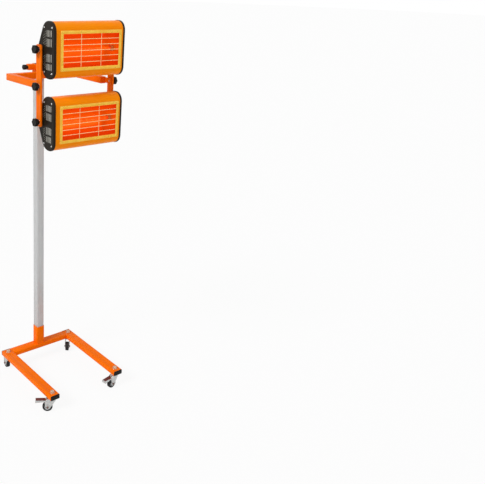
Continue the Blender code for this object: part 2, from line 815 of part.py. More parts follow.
def cap_shape():
    # The cap at the +X end. The other end has its mirror image.
    outer = prism([head_outline(0)], cap_inner, cap_outer, 'X')
    holder = bpy.data.objects.new('cap', outer)
    pieces.objects.link(holder)
    sharp = holder.modifiers.new('edge', 'BEVEL')
    sharp.width = cap_edge
    sharp.segments = 2
    sharp.limit_method = 'WEIGHT'
    weights = outer.attributes.new('bevel_weight_edge', 'FLOAT', 'EDGE')
    for edge in outer.edges:
        ends = [outer.vertices[index].co.x for index in edge.vertices]
        weights.data[edge.index].value = 1 if min(ends) > (cap_inner + cap_outer) / 2 else 0
    soft = evaluated_mesh(holder)
    bpy.data.objects.remove(holder, do_unlink=True)
    hollow = prism([head_outline(cap_rim)], cap_inner - overrun, cap_outer - cap_face, 'X')
    boss_start = cap_inner - cap_boss_inside
    boss_end = bar_inner - slack
    pivot_boss = rod(cap_boss_wide / 2, boss_start, boss_end, 'X', stud_sides)
    bore = rod(stud_wide / 2 + stud_fit, boss_start - overrun, boss_end + overrun, 'X', stud_sides)
    slots = []
    for up, long in ((slot_inner_up, slot_inner_long), (slot_outer_up, slot_outer_long)):
        for level in (-up, up):
            for number in range(slot_count):
                middle = -(slot_first + number * slot_pitch)
                low = (cap_outer - cap_face - overrun, middle - slot_wide / 2, level - long / 2)
                high = (cap_outer + overrun, middle + slot_wide / 2, level + long / 2)
                slots.append(block(low, high))
    hollowed = shaped(soft, [], [hollow])
    return shaped(hollowed, [pivot_boss], [bore] + slots)


def mirrored(mesh):
    made = mesh.copy()
    made.transform(Matrix.Scale(-1, 4, (1, 0, 0)))
    made.flip_normals()
    return made


def housing_shape():
    half = cap_inner - gap
    outer = head_outline(housing_inset)
    inner = head_outline(housing_inset + housing_wall)
    shell = prism([outer, inner], -half, half, 'X')
    wide = window_wide / 2
    high = window_high / 2
    low = (window_shift - wide, -housing_front - overrun, -high)
    up = (window_shift + wide, -housing_front + housing_wall + overrun, high)
    hole = rod(gland_wide / 2 + gap, -gland_hex, gland_hex, 'Y', stud_sides)
    hole.transform(gland_place())
    return shaped(shell, [], [block(low, up), hole])


def gland_place():
    # On the lower slope of the back, square to it: local +Y points out of the head.
    start = Vector((head_back, 0))
    end = Vector((-head_shoulder, -head_half))
    spot = start.lerp(end, gland_along_share)
    along = (end - start).normalized()
    outward = Vector((-along.y, along.x))
    spot -= outward * housing_inset
    lean = math.atan2(outward.y, outward.x)
    return Matrix.Translation((-gland_across, spot.x, spot.y)) @ Matrix.Rotation(lean, 4, 'X')


def gland_shape():
    foot = -housing_wall - gland_inside
    top = gland_hex_thick + gland_dome_long
    nut_radius = gland_hex / 2 / math.cos(math.pi / 6)
    dome = gland_dome_wide / 2
    profile = [
        (gland_bore / 2, top), (gland_dome_wide / 3, top), (dome, top - gland_dome_long / 2),
        (dome, gland_hex_thick / 2), (gland_wide / 2, gland_hex_thick / 2),
        (gland_wide / 2, foot), (gland_bore / 2, foot),
    ]
    body = turned(profile, stud_sides, 'Y', True)
    collar = rod(nut_radius, gap, gland_hex_thick, 'Y', hex_sides)
    bore = rod(gland_bore / 2 + merge_limit, foot - overrun, top + overrun, 'Y', stud_sides)
    made = shaped(body, [collar], [bore])
    made.transform(gland_place())
    return made


def trough_outline(grow):
    # The reflector's section as (y, z), open side at the flange.
    mouth = mouth_high / 2 + grow
    back = reflector_back_high / 2 + grow
    front = -flange_front
    deep = front + reflector_deep + grow
    corners = [(front, -mouth), (deep, -back), (deep, back), (front, mouth)]
    return rounded(corners, [0, reflector_round + grow, reflector_round + grow, 0], profile_steps)


def reflector_shape():
    half_in = mouth_wide / 2
    half_out = half_in + reflector_sheet
    body = prism([trough_outline(reflector_sheet)], window_shift - half_out, window_shift + half_out, 'X')
    inner = trough_outline(0)
    mouth = mouth_high / 2
    start = -flange_front - overrun
    inner_long = [(start, -mouth)] + inner + [(start, mouth)]
    hollow = prism([inner_long], window_shift - half_in, window_shift + half_in, 'X')
    wide = window_wide / 2 + reflector_flange
    high = window_high / 2 + reflector_flange
    flange = block((window_shift - wide, -flange_front, -high),
                   (window_shift + wide, -flange_front + reflector_sheet, high))
    return shaped(flange, [body], [hollow])


def guard_shape():
    high = window_high + 2 * guard_lap
    outer = rectangle(high, window_wide + 2 * guard_lap, guard_corner, (0, window_shift))
    inner = rectangle(mouth_high, mouth_wide, guard_corner, (0, window_shift))
    frame = prism([outer, inner], -guard_back - guard_sheet, -guard_back, 'Y')
    radius = wire_wide / 2
    row_in = -guard_back + radius - wire_wide * wire_weld_share
    column_in = row_in + wire_wide / 2
    reach = window_wide / 2 - slack
    wires = []
    for number in range(wire_rows):
        up = (number - (wire_rows - 1) / 2) * wire_row_pitch
        wire = rod(radius, window_shift - reach, window_shift + reach, 'X', wire_sides)
        wires.append(moved(wire, (0, row_in, up)))
    high = mouth_high / 2 - slack
    for number in range(wire_columns):
        side = (number - (wire_columns - 1) / 2) * wire_column_pitch
        wire = rod(radius, -high, high, 'Z', wire_sides)
        wires.append(moved(wire, (window_shift + side, column_in, 0)))
    return shaped(frame, wires)


lamp_y = -flange_front + lamp_behind
holder_out = mouth_wide / 2 - gap
holder_in = holder_out - holder_thick


def lamp_shape():
    reach = holder_in + lamp_end_long
    body = lamp_wide / 2
    end = lamp_end_wide / 2
    shoulder = holder_in - lamp_taper
    profile = [(0, reach), (end, reach), (end, shoulder), (body, shoulder - lamp_taper),
               (body, -shoulder + lamp_taper), (end, -shoulder), (end, -reach), (0, -reach)]
    made = turned(profile, stud_sides, 'X', False)
    made.transform(Matrix.Translation((window_shift, lamp_y, 0)))
    shade(made)
    return made


def holder_shape(side):
    ends = sorted((side * holder_in, side * holder_out))
    outline = rectangle(holder_wide, holder_high, holder_round, (lamp_y, 0))
    body = prism([outline], window_shift + ends[0], window_shift + ends[1], 'X')
    bore = rod(lamp_end_wide / 2 + stud_fit, ends[0] - overrun, ends[1] + overrun, 'X', stud_sides)
    return shaped(body, [], [moved(bore, (window_shift, lamp_y, 0))])


right_cap = cap_shape()
left_cap = mirrored(right_cap)
housing = housing_shape()
reflector = reflector_shape()
guard = guard_shape()
lamp = lamp_shape()
left_holder = holder_shape(-1)
right_holder = holder_shape(1)
gland = gland_shape()

for level, up in (('upper', pivot_apart), ('lower', -pivot_apart)):
    head = joint('head_' + level, (0, 0, up), tilt)
    piece('housing_' + level, housing, 'orange paint', orange_paint, head)
    piece('end_cap_left_' + level, left_cap, 'cap plastic', cap_plastic, head)
    piece('end_cap_right_' + level, right_cap, 'cap plastic', cap_plastic, head)
    piece('reflector_' + level, reflector, 'gold reflector', gold_reflector, head)
    piece('guard_' + level, guard, 'pale wire', pale_wire, head)
    piece('infrared_tube_' + level, lamp, 'hot quartz', hot_quartz, head)
    piece('tube_holder_left_' + level, left_holder, 'white ceramic', white_ceramic, head)
    piece('tube_holder_right_' + level, right_holder, 'white ceramic', white_ceramic, head)
    piece('cable_gland_' + level, gland, 'black plastic', black_plastic, head)
    add_knobs(level, head, knob_mesh)


def middle_of_all():
    # The middle of every piece together, seen from above.
    bpy.context.view_layer.update()
    graph = bpy.context.evaluated_depsgraph_get()
    spots = []
    for item in pieces.objects:
        if item.type == 'MESH':
            whole = item.evaluated_get(graph)
            spots += [whole.matrix_world @ spot.co for spot in whole.data.vertices]
    sides = [[spot.x for spot in spots], [spot.y for spot in spots]]
    return [(min(side) + max(side)) / 2 for side in sides]


centre = middle_of_all()
stand.location = (-centre[0], -centre[1], 0)
bpy.context.view_layer.update()
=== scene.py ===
import json
import math

import bmesh
import bpy
from mathutils import Matrix, Vector

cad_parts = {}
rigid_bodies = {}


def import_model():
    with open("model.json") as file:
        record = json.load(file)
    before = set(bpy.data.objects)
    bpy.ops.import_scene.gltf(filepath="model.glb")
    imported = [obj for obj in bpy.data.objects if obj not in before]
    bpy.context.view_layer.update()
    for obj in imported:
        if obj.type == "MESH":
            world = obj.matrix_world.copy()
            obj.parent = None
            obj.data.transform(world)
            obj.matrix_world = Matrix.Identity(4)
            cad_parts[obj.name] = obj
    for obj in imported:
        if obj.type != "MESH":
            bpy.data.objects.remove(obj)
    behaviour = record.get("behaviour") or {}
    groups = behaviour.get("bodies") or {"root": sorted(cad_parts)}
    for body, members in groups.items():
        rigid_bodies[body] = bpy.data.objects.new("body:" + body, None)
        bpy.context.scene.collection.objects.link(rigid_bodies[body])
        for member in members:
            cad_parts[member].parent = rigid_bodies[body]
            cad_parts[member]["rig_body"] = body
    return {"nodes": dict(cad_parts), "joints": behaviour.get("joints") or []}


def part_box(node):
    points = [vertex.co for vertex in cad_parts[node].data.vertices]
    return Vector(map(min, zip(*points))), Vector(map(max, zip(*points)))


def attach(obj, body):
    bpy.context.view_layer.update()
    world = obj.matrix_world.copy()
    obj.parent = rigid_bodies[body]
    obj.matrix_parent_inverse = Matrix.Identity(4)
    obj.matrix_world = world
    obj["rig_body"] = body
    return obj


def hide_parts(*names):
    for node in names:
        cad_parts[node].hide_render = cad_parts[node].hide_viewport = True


# Infrared paint curing lamp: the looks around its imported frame. All sizes are metres.
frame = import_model()
nodes = frame["nodes"]
pivots = {joint["name"]: Vector(joint["pos_m"]) for joint in frame["joints"] if "pos_m" in joint}
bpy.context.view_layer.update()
levels = ("upper", "lower")
sides = {"left": -1, "right": 1}
castorSpots = ("front_left", "front_right", "rear_left", "rear_right")
weld = 0.00001                      # points nearer than this are one
print("frame loaded:", len(nodes), "nodes")


def middleOf(nodeName):
    low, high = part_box(nodeName)
    return (low + high) / 2


def intoScene(name, data):
    item = bpy.data.objects.new(name, data)
    bpy.context.scene.collection.objects.link(item)
    return item


def meshFrom(work, name):
    mesh = bpy.data.meshes.new(name)
    work.to_mesh(mesh)
    work.free()
    return mesh


# Helpers for shader nodes
def fill(made, values):
    for label, value in values.items():
        made.inputs[label].default_value = value


def node(tree, kind, ins={}, **settings):
    # ins holds the values of the node's inputs, and the rest are its own settings.
    made = tree.nodes.new("ShaderNode" + kind)
    for key, value in settings.items():
        setattr(made, key, value)
    fill(made, ins)
    return made


def link(tree, *joins):
    # Each join: a node, its output, the next node and its input.
    for start, output, end, entry in joins:
        tree.links.new(start.outputs[output], end.inputs[entry])


def opaque(shade):
    return (*shade, 1)


def newFinish(name):
    finish = bpy.data.materials.new(name)
    finish.use_nodes = True
    return finish, finish.node_tree, finish.node_tree.nodes["Principled BSDF"]


photo = {
    "wide": 485, "high": 484,       # the photograph's size in pixels
    "focal": 654.68,                # focal length in those pixels
    "middle": (100, 225),           # pixel that the lens looks straight at
    "azimuth": -36.979, "pitch": 20.927, "roll": 2.014,
    "fromPole": (-1.65212, -2.72301, 2.02129),   # camera's place from the pole's foot on the floor
    "sensor": 36, "farthest": 200,
}


def addCamera(s):
    data = bpy.data.cameras.new("camera")
    data.sensor_width = s["sensor"]
    data.lens = s["focal"] / s["wide"] * s["sensor"]
    data.shift_x = (s["wide"] / 2 - s["middle"][0]) / s["wide"]
    data.shift_y = (s["middle"][1] - s["high"] / 2) / s["wide"]
    data.clip_end = s["farthest"]
    camera = intoScene("camera", data)
    pole = middleOf("pole")
    across, along, up = s["fromPole"]
    place = Matrix.Translation((pole.x + across, pole.y + along, up))
    heading = Matrix.Rotation(math.radians(s["azimuth"]), 4, "Z")
    nod = Matrix.Rotation(math.radians(90 - s["pitch"]), 4, "X")
    camera.matrix_world = place @ heading @ nod @ Matrix.Rotation(math.radians(s["roll"]), 4, "Z")
    bpy.context.scene.camera = camera


stage = {
    "floorRadius": 60, "floorSides": 64, "floorColour": (0.82, 0.82, 0.82), "floorRough": 0.8,
    "floorClear": 0.90,             # share of plain white that the camera sees over the floor's own shade
    "white": (1, 1, 1), "skyLight": 0.52, "skySeen": 1.0,
    "suns": (
        {"strength": 1.80, "angle": 22, "lean": 48, "heading": -84},
        {"strength": 0.30, "angle": 40, "lean": 60, "heading": 20},
    ),
}


def addFloor(s):
    work = bmesh.new()
    bmesh.ops.create_circle(work, cap_ends=True, segments=s["floorSides"], radius=s["floorRadius"])
    floor = intoScene("floor", meshFrom(work, "floor"))
    finish, tree, shader = newFinish("floorFinish")
    fill(shader, {"Base Color": opaque(s["floorColour"]), "Roughness": s["floorRough"],
                  "Specular IOR Level": 0})
    clear = node(tree, "Emission", ins={"Color": opaque(s["white"])})
    path = node(tree, "LightPath")
    share = node(tree, "Math", operation="MULTIPLY", ins={1: s["floorClear"]})
    mix = node(tree, "MixShader")
    link(tree, (path, "Is Camera Ray", share, 0), (share, 0, mix, "Fac"), (shader, 0, mix, 1),
         (clear, 0, mix, 2))
    tree.links.new(mix.outputs[0], tree.nodes["Material Output"].inputs["Surface"])
    floor.data.materials.append(finish)


def addSuns(s):
    for index, sun in enumerate(s["suns"]):
        data = bpy.data.lights.new("sun" + str(index), "SUN")
        data.energy = sun["strength"]
        data.angle = math.radians(sun["angle"])
        lamp = intoScene("sun" + str(index), data)
        lamp.rotation_euler = (math.radians(sun["lean"]), 0, math.radians(sun["heading"]))


def addSky(s):
    # Seen directly, mirrored or through glass the sky is plain white, and its light is weaker.
    world = bpy.data.worlds.new("studio")
    bpy.context.scene.world = world
    world.use_nodes = True
    tree = world.node_tree
    light = tree.nodes["Background"]
    fill(light, {"Color": opaque(s["white"]), "Strength": s["skyLight"]})
    seen = node(tree, "Background", ins={"Color": opaque(s["white"]), "Strength": s["skySeen"]})
    path = node(tree, "LightPath")
    either = node(tree, "Math", operation="MAXIMUM")
    anyOf = node(tree, "Math", operation="MAXIMUM")
    mix = node(tree, "MixShader")
    link(tree, (path, "Is Camera Ray", either, 0), (path, "Is Glossy Ray", either, 1), (either, 0, anyOf, 0),
         (path, "Is Transmission Ray", anyOf, 1), (anyOf, 0, mix, "Fac"), (light, 0, mix, 1), (seen, 0, mix, 2))
    tree.links.new(mix.outputs[0], tree.nodes["World Output"].inputs["Surface"])


addCamera(photo)
addFloor(stage)
addSuns(stage)
addSky(stage)
bpy.context.scene.view_settings.view_transform = "Standard"
print("camera, floor and light are in place")


# Surface effects that several finishes share, each a node group
def newGroup(name, ins, outs):
    # ins: each input and its value, a number or a vector; outs: the outputs, all numbers.
    group = bpy.data.node_groups.new(name, "ShaderNodeTree")
    for label, value in ins.items():
        kind = "NodeSocketVector" if isinstance(value, tuple) else "NodeSocketFloat"
        group.interface.new_socket(label, in_out="INPUT", socket_type=kind).default_value = value
    for label in outs:
        group.interface.new_socket(label, in_out="OUTPUT", socket_type="NodeSocketFloat")
    return group, group.nodes.new("NodeGroupInput"), group.nodes.new("NodeGroupOutput")


def noise(tree, detail, rough, scale=1):
    return node(tree, "TexNoise", ins={"Scale": scale, "Detail": detail, "Roughness": rough})


def ramp(tree, fromLow, fromHigh, toLow=0, toHigh=1):
    return node(tree, "MapRange",
                ins={"From Min": fromLow, "From Max": fromHigh, "To Min": toLow, "To Max": toHigh})


def product(tree, one, other):
    both = node(tree, "Math", operation="MULTIPLY")
    tree.links.new(one, both.inputs[0])
    tree.links.new(other, both.inputs[1])
    return both.outputs[0]


def makeCoatGrain():
    # The orange-peel skin of powder coat or moulded plastic, with slow changes of tone.
    group, start, end = newGroup("coatGrain", {"Grain": 700, "Tone Scale": 9}, ("Tone", "Shine", "Height"))
    where = node(group, "TexCoord")
    fine, slow = noise(group, detail=2, rough=0.5), noise(group, detail=4, rough=0.6)
    patch = noise(group, detail=5, rough=0.65, scale=42)
    tone, shine = ramp(group, 0.3, 0.7), ramp(group, 0.3, 0.7)
    link(group, (where, "Object", fine, "Vector"), (where, "Object", slow, "Vector"),
         (where, "Object", patch, "Vector"), (start, "Grain", fine, "Scale"),
         (start, "Tone Scale", slow, "Scale"), (slow, "Fac", tone, "Value"), (patch, "Fac", shine, "Value"),
         (tone, "Result", end, "Tone"), (shine, "Result", end, "Shine"), (fine, "Fac", end, "Height"))
    return group


def makeEdgeWear():
    # A broken line along the outer edges, where the finish is rubbed.
    group, start, end = newGroup("edgeWear", {"Reach": 0.001, "Amount": 0.5}, ("Mask",))
    where = node(group, "TexCoord")
    soft = node(group, "Bevel", samples=4)
    real = node(group, "NewGeometry")
    alike = node(group, "VectorMath", operation="DOT_PRODUCT")
    edge, broken = ramp(group, 0.985, 0.86), ramp(group, 0.50, 0.62)
    chips = noise(group, detail=6, rough=0.7, scale=130)
    link(group, (start, "Reach", soft, "Radius"), (soft, "Normal", alike, 0), (real, "Normal", alike, 1),
         (alike, "Value", edge, "Value"), (where, "Object", chips, "Vector"), (chips, "Fac", broken, "Value"))
    both = product(group, edge.outputs["Result"], broken.outputs["Result"])
    group.links.new(product(group, both, start.outputs["Amount"]), end.inputs["Mask"])
    return group


def makeDust():
    # Workshop dust on what faces up, and faint rub marks elsewhere.
    group, start, end = newGroup("dust", {"Amount": 0.2}, ("Mask",))
    where = node(group, "TexCoord")
    real = node(group, "NewGeometry")
    parts = node(group, "SeparateXYZ")
    upward, thin = ramp(group, 0.2, 1.0, 0.15, 1.0), ramp(group, 0.42, 0.75)
    cloud = noise(group, detail=7, rough=0.7, scale=23)
    link(group, (real, "Normal", parts, 0), (parts, "Z", upward, "Value"), (where, "Object", cloud, "Vector"),
         (cloud, "Fac", thin, "Value"))
    both = product(group, upward.outputs["Result"], thin.outputs["Result"])
    group.links.new(product(group, both, start.outputs["Amount"]), end.inputs["Mask"])
    return group


def makeBrushed():
    # Drawn or rolled metal: fine lines along the stretched axis.
    group, start, end = newGroup("brushed", {"Stretch": (900, 900, 6)}, ("Lines", "Height"))
    where = node(group, "TexCoord")
    scaled = node(group, "VectorMath", operation="MULTIPLY")
    grain, spread = noise(group, detail=3, rough=0.6), ramp(group, 0.3, 0.7)
    link(group, (where, "Object", scaled, 0), (start, "Stretch", scaled, 1),
         (scaled, "Vector", grain, "Vector"), (grain, "Fac", spread, "Value"),
         (spread, "Result", end, "Lines"), (grain, "Fac", end, "Height"))
    return group


coatGrain = makeCoatGrain()
edgeWear = makeEdgeWear()
dust = makeDust()
brushed = makeBrushed()


def useGroup(tree, group, **values):
    ins = {label.replace("_", " "): value for label, value in values.items()}
    return node(tree, "Group", ins, node_tree=group)


def mixColour(tree, mask, first, second):
    # first and second are each a colour or a socket. Its colours are inputs 6 and 7 and output 2.
    mix = node(tree, "Mix", data_type="RGBA", clamp_factor=True)
    tree.links.new(mask, mix.inputs[0])
    for value, socket in ((first, mix.inputs[6]), (second, mix.inputs[7])):
        if isinstance(value, tuple):
            socket.default_value = opaque(value)
        else:
            tree.links.new(value, socket)
    return mix.outputs[2]


def addRough(tree, shader, source, limits):
    rough = ramp(tree, 0, 1, *limits)
    tree.links.new(source, rough.inputs["Value"])
    link(tree, (rough, "Result", shader, "Roughness"))


def addBump(tree, shader, height, strength, distance):
    bump = node(tree, "Bump", ins={"Strength": strength, "Distance": distance})
    tree.links.new(height, bump.inputs["Height"])
    link(tree, (bump, "Normal", shader, "Normal"))


def addGlow(tree, shader, mask, first, second, strength):
    tree.links.new(mixColour(tree, mask, first, second), shader.inputs["Emission Color"])
    fill(shader, {"Emission Strength": strength})


plainFinish = {                     # what a finish has where its own settings say nothing
    "metallic": 0, "specular": 0.5, "sheen": (1, 1, 1), "toneScale": 9, "bumpDeep": 0.0002,
    "dust": 0, "dustColour": (0.62, 0.58, 0.52), "wear": 0, "wearReach": 0.0012,
}


def makeFinish(name, own):
    # A finish from its settings: tone, dust, worn edges, roughness and bump.
    s = {**plainFinish, **own}
    finish, tree, shader = newFinish(name)
    fill(shader, {"Metallic": s["metallic"], "Specular IOR Level": s["specular"],
                  "Specular Tint": opaque(s["sheen"])})
    grain = useGroup(tree, coatGrain, Grain=s["grain"], Tone_Scale=s["toneScale"])
    shade = mixColour(tree, grain.outputs["Tone"], s["colour"], s["tone"])
    roughFrom, height = grain.outputs["Shine"], grain.outputs["Height"]
    if "stretch" in s:
        lines = useGroup(tree, brushed, Stretch=s["stretch"])
        shade = mixColour(tree, lines.outputs["Lines"], shade, s["lineColour"])
        roughFrom, height = lines.outputs["Lines"], lines.outputs["Height"]
    if s["dust"] > 0:
        film = useGroup(tree, dust, Amount=s["dust"])
        shade = mixColour(tree, film.outputs["Mask"], shade, s["dustColour"])
    if s["wear"] > 0:
        worn = useGroup(tree, edgeWear, Reach=s["wearReach"], Amount=s["wear"])
        shade = mixColour(tree, worn.outputs["Mask"], shade, s["wearColour"])
    tree.links.new(shade, shader.inputs["Base Color"])
    addRough(tree, shader, roughFrom, s["rough"])
    addBump(tree, shader, height, s["bump"], s["bumpDeep"])
    return finish


finishes = {
    "orangePaint": {
        "colour": (0.96, 0.178, 0.001), "tone": (0.91, 0.148, 0.001), "rough": (0.34, 0.48), "specular": 0.08,
        "sheen": (1.0, 0.34, 0.04), "grain": 620, "bump": 0.22, "dust": 0.02,
        "wear": 0.45, "wearColour": (0.98, 0.36, 0.10)},
    # the heads' orange, lighter and yellower than the frame's, as painted light from the lamps' glow
    "headPaintWithPaintedGlow": {
        "colour": (1.0, 0.285, 0.001), "tone": (0.99, 0.250, 0.001), "rough": (0.28, 0.40), "specular": 0.12,
        "sheen": (1.0, 0.46, 0.08), "grain": 620, "bump": 0.16, "dust": 0.02,
        "wear": 0.3, "wearColour": (0.98, 0.42, 0.12)},
    "bareSteel": {
        "metallic": 0.30, "colour": (0.69, 0.70, 0.70), "tone": (0.60, 0.61, 0.61), "rough": (0.30, 0.48),
        "specular": 0.3, "grain": 300, "toneScale": 5, "bump": 0.10, "bumpDeep": 0.0001,
        "stretch": (900, 900, 7), "lineColour": (0.50, 0.51, 0.51),
        "dust": 0.06, "wear": 0.3, "wearColour": (0.74, 0.74, 0.74)},
    "zincPlate": {
        "metallic": 0.9, "colour": (0.70, 0.71, 0.70), "tone": (0.56, 0.58, 0.57), "rough": (0.24, 0.46),
        "grain": 420, "toneScale": 60, "bump": 0.12, "dust": 0.12,
        "wear": 0.35, "wearColour": (0.34, 0.33, 0.31)},
    # zinc of the fixings, its warm tint a painted reflection of the orange paint around it
    "zincWithPaintedReflection": {
        "metallic": 0.8, "colour": (0.68, 0.47, 0.34), "tone": (0.58, 0.38, 0.26), "rough": (0.28, 0.46),
        "grain": 420, "toneScale": 60, "bump": 0.12, "dust": 0.12,
        "wear": 0.35, "wearColour": (0.34, 0.31, 0.28)},
    "screwSteel": {
        "metallic": 1, "colour": (0.90, 0.90, 0.88), "tone": (0.80, 0.80, 0.79), "rough": (0.16, 0.28),
        "grain": 800, "toneScale": 80, "bump": 0.05, "wear": 0.2, "wearColour": (0.5, 0.5, 0.5)},
    "knobPlastic": {
        "colour": (0.005, 0.005, 0.005), "tone": (0.010, 0.010, 0.009), "rough": (0.38, 0.56), "specular": 0.16,
        "grain": 1100, "bump": 0.30, "dust": 0.02, "wear": 0.35, "wearColour": (0.06, 0.06, 0.06)},
    "capPlastic": {
        "colour": (0.009, 0.007, 0.004), "tone": (0.017, 0.012, 0.007), "rough": (0.34, 0.52), "specular": 0.14,
        "grain": 900, "bump": 0.28, "dust": 0.02, "wear": 0.40, "wearColour": (0.08, 0.07, 0.05)},
    "tyreRubber": {
        "colour": (0.014, 0.015, 0.016), "tone": (0.026, 0.026, 0.027), "rough": (0.62, 0.85), "specular": 0.25,
        "grain": 700, "bump": 0.35, "dust": 0.22, "dustColour": (0.16, 0.155, 0.15),
        "wear": 0.3, "wearColour": (0.09, 0.088, 0.085)},
    "hubPlastic": {
        "colour": (0.60, 0.61, 0.61), "tone": (0.50, 0.51, 0.52), "rough": (0.35, 0.55),
        "grain": 900, "bump": 0.2, "dust": 0.15, "wear": 0.3, "wearColour": (0.75, 0.75, 0.75)},
    "pedalRed": {
        "colour": (0.13, 0.016, 0.012), "tone": (0.085, 0.011, 0.010), "rough": (0.34, 0.54), "specular": 0.3,
        "grain": 900, "bump": 0.3, "dust": 0.10, "wear": 0.5, "wearColour": (0.30, 0.09, 0.07)},
    "axlePaint": {
        "metallic": 0.4, "colour": (0.13, 0.045, 0.038), "tone": (0.22, 0.15, 0.13), "rough": (0.35, 0.6),
        "grain": 900, "bump": 0.2, "dust": 0.2, "wear": 0.5, "wearColour": (0.5, 0.45, 0.42)},
    "guardGold": {
        "metallic": 0.6, "colour": (0.97, 0.62, 0.085), "tone": (0.94, 0.50, 0.05), "rough": (0.24, 0.40),
        "sheen": (1.0, 0.8, 0.4), "grain": 500, "toneScale": 30, "bump": 0.03,
        "wear": 0.15, "wearColour": (0.99, 0.84, 0.38)},
    "wirePale": {
        "metallic": 0.6, "colour": (0.98, 0.80, 0.42), "tone": (0.95, 0.66, 0.26), "rough": (0.22, 0.36),
        "sheen": (1.0, 0.86, 0.6), "grain": 900, "toneScale": 40, "bump": 0.03,
        "wear": 0.15, "wearColour": (0.99, 0.93, 0.72)},
    "ceramicWithPaintedGlow": {               # white ceramic, painted orange as the glow of the tube that it holds
        "colour": (0.80, 0.24, 0.05), "tone": (0.70, 0.17, 0.03), "rough": (0.40, 0.62), "specular": 0.1,
        "grain": 800, "bump": 0.25, "dust": 0.02, "wear": 0.3, "wearColour": (0.85, 0.40, 0.14)},
    "ventSheet": {
        "colour": (0.74, 0.72, 0.65), "tone": (0.62, 0.60, 0.53), "rough": (0.30, 0.55),
        "grain": 500, "toneScale": 50, "bump": 0.15,
        "stretch": (20, 20, 900), "lineColour": (0.54, 0.52, 0.45)},
}
ready = {name: makeFinish(name, settings) for name, settings in finishes.items()}


# The tube is the lamp and glows. The reflector is lit by it, so the reflector's finish carries a painted glow.
glow = {
    "reflectorColour": (0.46, 0.115, 0.010), "reflectorTone": (0.40, 0.085, 0.006),
    "reflectorRough": (0.24, 0.36), "reflectorGrain": 90, "reflectorTones": 14, "reflectorBump": 0.05,
    "bumpDeep": 0.0002, "glowColour": (0.92, 0.115, 0.001), "glowEdge": (0.70, 0.042, 0.001),
    "glowNear": 0.012, "glowFar": 0.070,        # from the tube's middle line
    "reflectorPaintedGlow": 0.57,
    "quartzColour": (1.0, 0.30, 0.06), "quartzSheen": (1.0, 0.45, 0.15), "quartzClear": 0.85,
    "quartzIndex": 1.46, "quartzRough": (0.03, 0.12), "quartzGrain": 260, "quartzTones": 30, "quartzGlow": 0.30,
    "coilBase": (0.3, 0.1, 0.05), "coilColour": (1.0, 0.26, 0.02), "coilGrain": 900, "coilTones": 60,
    "coilGlow": 1.2,
}


def makeReflectorFinish(s, level):
    finish, tree, shader = newFinish("goldReflector_" + level)
    fill(shader, {"Metallic": 1})
    grain = useGroup(tree, coatGrain, Grain=s["reflectorGrain"], Tone_Scale=s["reflectorTones"])
    shade = mixColour(tree, grain.outputs["Tone"], s["reflectorColour"], s["reflectorTone"])
    tree.links.new(shade, shader.inputs["Base Color"])
    addRough(tree, shader, grain.outputs["Shine"], s["reflectorRough"])
    addBump(tree, shader, grain.outputs["Height"], s["reflectorBump"], s["bumpDeep"])
    # painted glow on the reflector, brightest near the tube's middle line and fading towards the mouth
    where = node(tree, "TexCoord")
    tube = middleOf("infrared_tube_" + level)
    moved = node(tree, "Mapping", ins={"Location": (0, -tube.y, -tube.z), "Scale": (0, 1, 1)})
    away = node(tree, "VectorMath", operation="LENGTH")
    near = ramp(tree, s["glowFar"], s["glowNear"])
    near.interpolation_type = "SMOOTHSTEP"
    link(tree, (where, "Object", moved, "Vector"), (moved, "Vector", away, 0), (away, "Value", near, "Value"))
    addGlow(tree, shader, near.outputs["Result"], s["glowEdge"], s["glowColour"], s["reflectorPaintedGlow"])
    return finish


def makeQuartzFinish(s):
    finish, tree, shader = newFinish("hotQuartz")
    fill(shader, {"Base Color": opaque(s["quartzColour"]), "Specular Tint": opaque(s["quartzSheen"]),
                  "Transmission Weight": s["quartzClear"], "IOR": s["quartzIndex"]})
    grain = useGroup(tree, coatGrain, Grain=s["quartzGrain"], Tone_Scale=s["quartzTones"])
    addRough(tree, shader, grain.outputs["Shine"], s["quartzRough"])
    addGlow(tree, shader, grain.outputs["Tone"], s["glowColour"], s["glowEdge"], s["quartzGlow"])
    return finish


def makeCoilFinish(s):
    finish, tree, shader = newFinish("hotCoil")
    fill(shader, {"Base Color": opaque(s["coilBase"])})
    grain = useGroup(tree, coatGrain, Grain=s["coilGrain"], Tone_Scale=s["coilTones"])
    addGlow(tree, shader, grain.outputs["Tone"], s["coilColour"], s["glowEdge"], s["coilGlow"])
    return finish


for level in levels:
    ready["goldReflector_" + level] = makeReflectorFinish(glow, level)
ready["hotQuartz"] = makeQuartzFinish(glow)
ready["hotCoil"] = makeCoilFinish(glow)
print("finishes made:", len(ready))


# Helpers that shape a bmesh
turnTo = {
    "X": Matrix.Rotation(math.pi / 2, 4, "Y"),
    "Y": Matrix.Rotation(-math.pi / 2, 4, "X"),
    "Z": Matrix.Identity(4),
}


def turnedAt(middle, angle, axis="Z"):
    return Matrix.Translation(middle) @ Matrix.Rotation(angle, 4, axis)


def rod(work, radius, near, far, axis="X", sides=24, middle=(0, 0, 0)):
    place = Matrix.Translation(middle) @ turnTo[axis] @ Matrix.Translation((0, 0, (near + far) / 2))
    bmesh.ops.create_cone(work, cap_ends=True, segments=sides, radius1=radius, radius2=radius,
                          depth=far - near, matrix=place)


def block(work, low, high, edge=0, steps=2):
    low, high = Vector(low), Vector(high)
    place = Matrix.Translation((low + high) / 2) @ Matrix.Diagonal((*(high - low), 1))
    spots = bmesh.ops.create_cube(work, size=1, matrix=place)["verts"]
    if edge > 0:
        ease(work, {side for spot in spots for side in spot.link_edges}, edge, steps)


def ease(work, items, offset, steps=2, affect="EDGES", clamp=True):
    bmesh.ops.bevel(work, geom=list(items), offset=offset, offset_type="OFFSET", segments=steps, profile=0.5,
                    affect=affect, material=-1, clamp_overlap=clamp)


def sharpEdges(work, degrees):
    limit = math.radians(degrees)
    return [edge for edge in work.edges if edge.is_manifold and edge.calc_face_angle(0) > limit]


